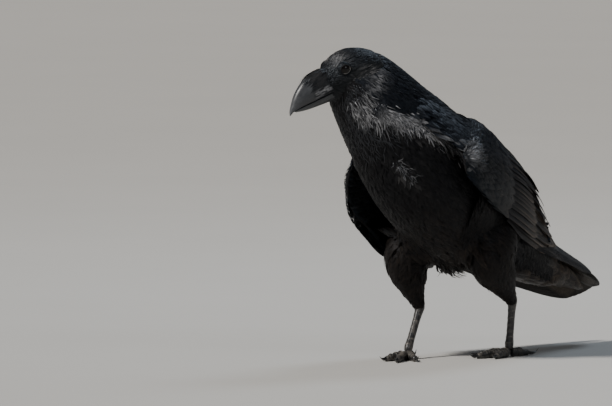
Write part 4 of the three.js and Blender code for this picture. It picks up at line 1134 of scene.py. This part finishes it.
def blade(root, tip, normal, half, K, C, bow=3.0, blunt=0.15, lift=0.0, cup=0.1, shaft=0.5):
    """a flight feather: straight blade with a raised shaft"""
    along = tip - root
    length = np.linalg.norm(along)
    along = along / length
    n = normal - along * normal.dot(along)
    n /= np.linalg.norm(n)
    side = np.cross(n, along)
    s = 1 - (1 - np.linspace(0, 1, K)) ** 1.5
    taper = np.where(s > 1 - blunt, np.sqrt(np.clip(1 - ((s - 1 + blunt) / blunt) ** 2, 0, 1)), 1)
    w = half * (0.45 + 0.55 * np.minimum(1, s / 0.35)) * taper + 0.35
    x = np.linspace(-1, 1, C)
    at = root + along * (s * length)[:, None] + n * (bow * 4 * s * (1 - s) + lift)[:, None]
    P = at[:, None] + side * (x * w[:, None])[..., None] + n * (-cup * w[:, None] * x ** 2 + shaft * np.exp(-(x / 0.12) ** 2) * (1 - s[:, None]))[..., None]
    return P


wing_pieces = {n: wing_set(n) for n in ("left", "right")}


# ------------------------------------------------------------------ tail
def tail_set():
    root, tip = np.array(TAIL["root"], float), np.array(TAIL["tip"], float)
    along = tip - root
    length = np.linalg.norm(along)
    along /= length
    flat = np.array([1.0, 0, 0])
    normal = unit(np.cross(flat, along))
    r = TAIL["roll"]
    side = flat * math.cos(r) + normal * math.sin(r)
    up = normal * math.cos(r) - flat * math.sin(r)
    K, C = 34, 9
    P = np.empty((12, K, C, 3))
    for k in range(12):
        o = k - 5.5
        m = abs(o)
        ang = o * TAIL["fan"]
        l = length - TAIL["step"] * max(0, m - 0.5) * (0.55 + m * 0.11)
        d = along * math.cos(ang) + side * math.sin(ang)
        rt = root + side * (o * TAIL["spread"]) - up * (m * 1.7)
        tp = rt + d * l - up * (m * 1.3)
        P[k] = blade(rt, tp, up + side * (o * 0.07), TAIL["width"] - m * 0.3, K, C, 3, 0.14, 0.3, 0.08, 0.6)
    t, x = np.linspace(0, 1, K)[None, :, None], np.abs(np.linspace(-1, 1, C))[None, None, :]
    pale = rng.uniform(0.5, 1.0, 12)[:, None, None] * smooth(0.98, 0.85, t) * smooth(1.0, 0.55, x)
    col = mix(mix(BLACK, BROWN, np.full(1, 0.35)), WARM * 0.8, pale)
    uv = np.stack([np.linspace(0.1, 0.9, 12), np.full(12, 0.5)], -1)
    return assemble("rectrices", P, col, uv, M_UNDER, np.tile([200.0, 13.0], (12, 1)), 0.35, M_UNDER)


tail = tail_set()
coat.append((tail, "quill"))

# ------------------------------------------------------------------ bill
def bill(name, table, upper):
    K, C = 90, 40
    n = len(table) - 1
    w = np.linspace(0, 1, K)
    s = w * n
    p = rows(table, s)
    f, ridge, edge, wd = [p[:, k][:, None] for k in range(4)]
    lip = (1 if upper else -1) * np.minimum(0.8, np.abs(ridge - edge) * 0.15)
    mid = edge + lip
    e = np.clip((w - 0.94) / 0.06, 0, 1)[:, None]
    k = np.sqrt(1 - e ** 2) * 0.97 + 0.03
    a = np.linspace(0, 2 * math.pi, C, endpoint=False)[None]
    cx = np.sign(np.cos(a)) * np.abs(np.cos(a)) ** 0.9
    lip_side = np.sin(a) < 0 if upper else np.sin(a) >= 0
    cx = np.where(lip_side, np.sign(np.cos(a)) * np.abs(np.cos(a)) ** 0.35, cx)
    sy = np.sign(np.sin(a)) * np.abs(np.sin(a)) ** 0.9
    hu = ridge - mid if upper else -lip
    hd = lip if upper else mid - ridge
    P = in_head(f + 0 * a, wd * k * cx, mid + np.where(np.sin(a) >= 0, hu, hd) * k * sy)
    v, t = tube(P)
    ob = new_mesh(name, metres(v), t, M_BILL)
    wear = np.zeros(len(v))
    # paler towards the tip from wear; on the upper bill the top is paler still, a painted highlight
    tip_wear_and_top_highlight = smooth(0.45, 1, w)[:, None] * (0.35 + 0.65 * np.clip(np.sin(a), 0, 1) if upper else 0.5 + 0 * a)
    wear[: K * C] = (0.75 * tip_wear_and_top_highlight).ravel()
    at = ob.data.attributes.new("wear", "FLOAT", "POINT")
    at.data.foreach_set("value", wear.astype(np.float32))
    return ob


bill_u, bill_l = bill("bill_upper_horn", UPPER_BILL, True), bill("bill_lower_horn", LOWER_BILL, False)

# bristles over the nostrils, lying forwards, and along the gape
N = 760
q = rng.random(N)
th = rng.uniform(0.02, 1.0, N) * math.pi * 0.5
sg = np.where(rng.random(N) < 0.5, 1, -1)
f0 = rng.uniform(11, 27, N)
pb = rows(UPPER_BILL, np.interp(f0, [r[0] for r in UPPER_BILL], range(len(UPPER_BILL))))
L = rng.uniform(14, 26, N) * (0.72 + 0.28 * np.cos(th))
K, C = 8, 3
t = np.linspace(0, 1, K)
P = np.empty((N, K, C, 3))
for k in range(K):
    f = f0 + L * t[k]
    pk = rows(UPPER_BILL, np.interp(f, [r[0] for r in UPPER_BILL], range(len(UPPER_BILL))))
    ang = th + 0.22 * t[k] * (1 - th / 1.6)
    lift = 0.3 + 1.5 * np.sin(t[k] * 2.6) * (0.5 + q)
    w, hgt = pk[:, 3], pk[:, 1] - (pk[:, 2] + 1.6)
    for c in range(C):
        a = ang + (c - 1) * 0.05 * (1 - t[k]) ** 0.5
        P[:, k, c] = in_head(f, sg * (w + lift) * np.sin(a), pk[:, 2] + 1.6 + (hgt + lift) * np.cos(a))
band = smooth(1.16, 1.26, th) * smooth(1.56, 1.46, th) * (rng.random(N) < 0.6)
col = vane_tint(mix(BLACK, BROWN, 0.3 * q), K, C, 0.04 + 0.9 * q * band, 0.6 * q * band, PALE * 1.4, core=0.5)
coat.append((assemble("bristles", P, col, np.stack([0.1 + 0.8 * q, 0.1 + 0.8 * th / 1.6], -1), M_HEAD, np.stack([L, L * 0 + 0.6], -1)), "plumage"))


# ------------------------------------------------------------------ eyes and lids
def eye(name, sg):
    K, C = 40, 48
    ph = np.linspace(0.001, math.pi, K)[:, None]
    a = np.linspace(0, 2 * math.pi, C, endpoint=False)[None]
    ax = unit(H_S * sg + H_F * 0.18 + H_U * 0.02)
    e1 = unit(np.cross(ax, H_U))
    e2 = np.cross(ax, e1)
    r = EYE_R * (1 + 0.0 * ph)
    c = in_head(0, EYE_SIDE * sg, 0)
    P = c + ax * (r * np.cos(ph) + 0 * a)[..., None] + e1 * (r * np.sin(ph) * np.cos(a))[..., None] + e2 * (r * np.sin(ph) * np.sin(a))[..., None]
    v, t = tube(P)
    ob = new_mesh(name + "_ball", metres(v), t, M_EYE)
    iris = np.ones(len(v))
    iris[: K * C] = np.broadcast_to(np.clip(ph / 0.95, 0, 1), (K, C)).ravel()
    iris[K * C] = 0
    at = ob.data.attributes.new("iris", "FLOAT", "POINT")
    at.data.foreach_set("value", iris.astype(np.float32))
    # lids: a wrinkled rim, lower one paler
    K2, C2 = 96, 14
    b = np.linspace(0, 2 * math.pi, K2, endpoint=False)[:, None]
    g = np.linspace(0, 2 * math.pi, C2, endpoint=False)[None]
    R = 5.0 + 0.18 * np.cos(2 * b)
    z = np.sqrt(EYE_R ** 2 - R ** 2) + 0.2
    mr = 0.44 + 0.05 * np.sin(b * 17) + 0.03 * np.sin(b * 31 + 1)
    rad = R + 0.36 + mr * np.cos(g)
    hgt = z + mr * 0.8 * np.sin(g)
    dirn = H_F * 1.0
    f1 = unit(np.cross(H_U, ax))
    f2 = np.cross(ax, f1)
    P = c + ax * hgt[..., None] + f1 * (rad * 1.04 * np.cos(b))[..., None] + f2 * (rad * 0.93 * np.sin(b))[..., None]
    P2 = np.concatenate([P, P[:1]])
    v = P.reshape(-1, 3)
    q = grid_faces(K2 + 1, C2)
    q = np.where(q >= K2 * C2, q - K2 * C2, q)
    # the lid's own skin, a thin wrinkled shell over the ball from the rim out under the feathers
    rim = np.hypot((R + 0.36) * 1.04 * np.cos(b), (R + 0.36) * 0.93 * np.sin(b))
    f0 = np.arcsin(rim / (EYE_R + 0.3))
    j = np.concatenate([np.linspace(0, 1, 14), np.linspace(1, 0, 14)])[None]
    f = f0 + (1.5 - f0) * j
    rs = np.where(np.arange(28)[None] < 14, EYE_R + 0.34 + 0.07 * np.sin(f * 34 + 0.6 * np.sin(5 * b)) + 0.03 * np.sin(b * 41), EYE_R + 0.06 + 0 * f)
    P2 = c + ax * (rs * np.cos(f))[..., None] + f1 * (rs * np.sin(f) * np.cos(b))[..., None] + f2 * (rs * np.sin(f) * np.sin(b))[..., None]
    q2 = grid_faces(K2 + 1, 28)
    q2 = np.where(q2 >= K2 * 28, q2 - K2 * 28, q2) + len(v)
    lid = new_mesh(name + "_lid", metres(np.concatenate([v, P2.reshape(-1, 3)])), np.concatenate([q, q2]), M_LID)
    at = lid.data.attributes.new("wear", "FLOAT", "POINT")
    pale = 0.04 + 0.9 * smooth(-0.05, 0.85, -0.85 * np.sin(b) + 0.5 * np.cos(b) * sg)
    at.data.foreach_set("value", np.concatenate([np.broadcast_to(pale, (K2, C2)).ravel(), np.full(K2 * 28, 0.03)]).astype(np.float32))
    return ob, lid


eyes = {n: eye("eye_" + n, sg) for n, sg in (("left", 1), ("right", -1))}

# the smallest feathers of all, on the lids
for name, sg in (("left", 1), ("right", -1)):
    ax = unit(H_S * sg + H_F * 0.18 + H_U * 0.02)
    f1 = unit(np.cross(H_U, ax))
    f2 = np.cross(ax, f1)
    F, B = [], []
    for i in range(9):
        f = 0.76 + 0.085 * i
        m = int(2 * math.pi * 7.9 * math.sin(f) / 0.62)
        B.append((np.arange(m) + 0.5 * (i % 2) + rng.uniform(-0.3, 0.3, m)) * 2 * math.pi / m)
        F.append(f + rng.uniform(-0.03, 0.03, m))
    F, B = np.concatenate(F), np.concatenate(B)
    n = len(F)
    L, W = np.interp(F, [0.76, 1.45], [1.5, 3.0]) * vary(n), np.interp(F, [0.76, 1.45], [0.36, 0.55]) * vary(n)
    u, w = np.linspace(0, 1, 6)[None, :, None], np.linspace(-1, 1, 3)[None, None]
    front = math.pi if sg > 0 else 0.0
    f = F[:, None, None] + u * (L / 8.0)[:, None, None] + 0 * w
    b = B[:, None, None] + u * (0.5 * np.sin(B - front) * L / 3.0 + rng.normal(0, 0.03, n))[:, None, None] + w * np.asarray(outline("oval", u)) * W[:, None, None] / (8.0 * np.sin(f))
    r = EYE_R + 0.36 + u * rng.uniform(0.35, 0.6, n)[:, None, None] - 0.1 * w ** 2
    P = in_head(0, EYE_SIDE * sg, 0) + ax * (r * np.cos(f))[..., None] + f1 * (r * np.sin(f) * np.cos(b))[..., None] + f2 * (r * np.sin(f) * np.sin(b))[..., None]
    col = vane_tint(mix(BLACK, BLUE, 0.3 * np.ones(n)), 6, 3, 0.04 * rng.random(n), None, PALE)
    uv = np.stack([0.03 + 0.94 * ((B / (2 * math.pi)) % 1), 0.03 + 0.94 * (F - 0.7) / 0.85], -1)
    coat.append((assemble("coat_lid_" + name, P, col, uv, M_HEAD, np.stack([L, W], -1)), "plumage"))


# ------------------------------------------------------------------ legs, toes and claws
def scaled_tube(name, P, wear, mat):
    v, t = tube(P)
    ob = new_mesh(name, metres(v), t, mat)
    w = np.zeros(len(v))
    w[: wear.size] = wear.ravel()
    at = ob.data.attributes.new("wear", "FLOAT", "POINT")
    at.data.foreach_set("value", w.astype(np.float32))
    return ob


def saw(x):
    f = x - np.floor(x)
    return np.where(f < 0.86, f / 0.86, (1 - f) / 0.14)


legs = []
for name, leg in LEGS.items():
    sgn = leg["side"]
    ankle, ball = np.array(leg["ankle"], float), np.array(leg["ball"], float)
    pts = [ankle + [0, 1, 4], ankle, ankle * 0.5 + ball * 0.5, ball]
    K, C = 150, 36
    t = np.linspace(0, 1, K)
    at, along, side, up = tube_frame(pts, t)
    T = t[:, None]
    a = np.linspace(0, 2 * math.pi, C, endpoint=False)[None]
    joint = 1 + 0.3 * np.exp(-(((T - 0.33) / 0.12) ** 2)) + 0.5 * np.clip((T - 0.78) / 0.22, 0, 1) ** 1.5
    end = np.clip((T - 0.88) / 0.12, 0, 1)
    k = (np.sqrt(1 - end ** 2) * 0.97 + 0.03)
    front = np.clip(np.sin(a) * 1.0, 0, 1)  # up points forwards on the tarsus
    plates = saw(T * 12 + 0.12 * np.cos(a)) - 0.5
    r = TARSUS_R * joint * k * (1 + 0.07 * plates * smooth(-0.2, 0.4, np.sin(a)) + 0.02 * np.sin(a * 6))
    P = at[:, None] + side[:, None] * (r * 0.86 * np.cos(a))[..., None] + up[:, None] * (r * 1.06 * np.sin(a))[..., None]
    wear = smooth(0.2, 0.5, plates) * smooth(-0.2, 0.4, np.sin(a)) * 0.5 * (0.5 + 0.5 * np.sin(T * 23 + 2 * np.cos(a)))
    legs.append((scaled_tube("tarsus_scales_" + name, P, wear, M_LEG), "tarsus_" + name, "leg"))
    for num, (heading, length, clen) in TOES.items():
        basea = math.pi * 1.5 - sgn * leg["turn"] + sgn * heading * DEG
        d = np.array([math.cos(basea), math.sin(basea), 0])
        sd = np.cross([0, 0, 1.0], d)
        pads = 2 if num == 1 else num
        start = np.array([ball[0], ball[1], 0]) + d * 2.5
        K, C = 90, 32

        def foot(s):
            swell = 1 + 0.1 * np.cos(s * pads * 2 * math.pi)
            r = TOE_R * (1.12 - 0.34 * s) * swell
            rise = 1.3 * np.sin(s * math.pi) + 1.8 * (1 - s) ** 2
            return r, rise
        s = np.linspace(0, 1, K)[:, None]
        a = np.linspace(0, 2 * math.pi, C, endpoint=False)[None]
        r, rise = foot(s)
        e0, e1 = np.clip(1 - s / 0.14, 0, 1), np.clip(1 - (1 - s) / 0.1, 0, 1)
        k = np.sqrt(1 - e0 ** 2) * np.sqrt(1 - e1 ** 2) * 0.97 + 0.03
        sc = saw(s * length / 3.4) - 0.5
        topm = smooth(-0.1, 0.5, np.sin(a))
        rr = 1 + 0.085 * sc * topm
        zz = r + rise
        h = np.where(np.sin(a) >= 0, r, r + rise)
        P = start + d * (s * length + 0 * a)[..., None] + sd * (r * k * rr * np.cos(a))[..., None]
        P[..., 2] = zz + h * k * np.where(np.sin(a) >= 0, rr, 1) * np.sin(a)
        low = P[..., 2] < 1.6
        P[..., 2] = np.where(low, np.clip((P[..., 2] - 0.8) * 2.0, 0.0, None) * 1.0, P[..., 2])
        wear = smooth(0.15, 0.5, sc) * topm * (0.35 + 0.65 * (np.sin(s * 9 + num) > -0.2)) + 0 * a
        legs.append((scaled_tube(f"toe_scales_{name}_{num}", P, wear * 0.8, M_LEG), f"toe_{name}_{num}", "leg"))
        # claw
        rc = foot(np.array(0.97))[0] * 0.62
        rise0 = foot(np.array(0.97))[1]
        at0 = start + d * (0.97 * length) + np.array([0, 0, float(foot(np.array(0.97))[0] + rise0)])
        arc, K, C = 1.45, 40, 20
        s = np.linspace(0, 1, K)
        bend = clen / arc
        qv = s * arc - 0.5
        ahead = bend * (np.sin(qv) - math.sin(-0.5))
        down = bend * (math.cos(-0.5) - np.cos(qv))
        kk = (1 - s) ** 0.75 * 0.93 + 0.07
        al = d * np.cos(qv)[:, None] - np.array([0, 0, 1.0]) * np.sin(qv)[:, None]
        at = at0 + d * ahead[:, None] + np.array([0, 0, 1.0]) * (down + 0.6)[:, None]
        at[:, 2] = np.maximum(at[:, 2], 0.25 + rc * kk * 1.1)
        upv = np.cross(al, sd)
        a = np.linspace(0, 2 * math.pi, C, endpoint=False)[None]
        groove = 1 - 0.12 * np.exp(-((np.sin(a) + 1) / 0.3) ** 2)
        P = at[:, None] + sd * (rc * 0.82 * kk[:, None] * np.cos(a) * groove)[..., None] + upv[:, None] * (rc * 1.1 * kk[:, None] * np.sin(a))[..., None]
        v, t3 = tube(P)
        legs.append((new_mesh(f"claw_horn_{name}_{num}", metres(v), t3, M_CLAW), f"claw_{name}_{num}", "claw"))

# ------------------------------------------------------------------ what stands for what
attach(skin, "root")
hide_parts("trunk", "neck", "head", "thigh_left", "thigh_right", "wing_left", "wing_right")
for ob, slot in coat:
    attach(ob, "root")
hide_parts("tail")
for ob, nd, slot in [(bill_u, "bill_upper", "bill"), (bill_l, "bill_lower", "bill")] + legs + [(eyes[n][0], "eye_" + n, "eye") for n in eyes]:
    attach(ob, "root")
    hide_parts(nd)
for n in eyes:
    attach(eyes[n][1], "root")

# ------------------------------------------------------------------ floor, light and camera
m, nt, p = nodes_of("floor")
n1 = noise(nt, 3, 6)
ramp = node(nt, "ShaderNodeMix", data_type="RGBA")
nt.links.new(n1, ramp.inputs[0])
ramp.inputs[6].default_value = (0.43, 0.418, 0.395, 1)
ramp.inputs[7].default_value = (0.465, 0.452, 0.428, 1)
nt.links.new(ramp.outputs[2], p.inputs["Base Color"])
p.inputs["Roughness"].default_value = 0.9
floor = new_mesh("floor", [[-60, -60, 0], [60, -60, 0], [60, 60, 0], [-60, 60, 0]], [[0, 1, 2, 3]], m)

AZ, EL = math.acos(0.829), math.asin(0.0698)
Uv = np.array([0.829, 0.5592, 0])
Dv = np.array([0.5592 * math.cos(EL), -0.829 * math.cos(EL), math.sin(EL)])
Vv = np.cross(Dv, Uv)
DIST = 15644.0
aim = Uv * (306 - 460) * 1.15 + Vv * (358 - 203) * 1.15
cam = bpy.data.cameras.new("camera")
cam.lens, cam.sensor_width = 800, 36
cam.clip_start, cam.clip_end = 0.1, 200
co = bpy.data.objects.new("camera", cam)
bpy.context.scene.collection.objects.link(co)
pos = metres(aim + Dv * DIST)
co.matrix_world = Matrix(((Uv[0], Vv[0], Dv[0], pos[0]), (Uv[1], Vv[1], Dv[1], pos[1]), (Uv[2], Vv[2], Dv[2], pos[2]), (0, 0, 0, 1)))
bpy.context.scene.camera = co


def area(name, where, target, size, power, color=(1, 1, 1)):
    l = bpy.data.lights.new(name, "AREA")
    l.shape = "DISK"
    l.size, l.energy, l.color = size, power, color
    o = bpy.data.objects.new(name, l)
    o.location = where
    o.rotation_euler = (Vector(target) - Vector(where)).to_track_quat("-Z", "Y").to_euler()
    bpy.context.scene.collection.objects.link(o)


def around(az, el, dist, z=0.2):
    """a place at an azimuth from the camera's own, in degrees, to its right"""
    a = math.atan2(Dv[1], Dv[0]) + az * DEG
    return (math.cos(a) * math.cos(el * DEG) * dist, math.sin(a) * math.cos(el * DEG) * dist, z + math.sin(el * DEG) * dist)


sun = bpy.data.lights.new("key", "SUN")
sun.energy, sun.angle, sun.color = 4.2, 9 * DEG, (1.0, 0.97, 0.93)
so = bpy.data.objects.new("key", sun)
so.rotation_euler = Vector(around(-52, 46, 1, 0)).to_track_quat("Z", "Y").to_euler()
bpy.context.scene.collection.objects.link(so)
area("fill", around(35, 30, 2.6), (0, 0, 0.2), 0.9, 9, (0.92, 0.96, 1.0))
area("back", around(150, 55, 2.6), (0, 0, 0.2), 0.9, 22, (0.72, 0.85, 1.0))
world = bpy.data.worlds.new("world")
world.use_nodes = True
wt = world.node_tree
wc = wt.nodes.new("ShaderNodeTexCoord")
ws = wt.nodes.new("ShaderNodeSeparateXYZ")
wt.links.new(wc.outputs["Generated"], ws.inputs[0])
wr = mapped(wt, ws.outputs[2], 0.015, 0.12, 0.40, 0.12)
bg = wt.nodes["Background"]
bg.inputs[0].default_value = (0.9, 0.94, 1.0, 1)
wt.links.new(wr, bg.inputs[1])
bpy.context.scene.world = world
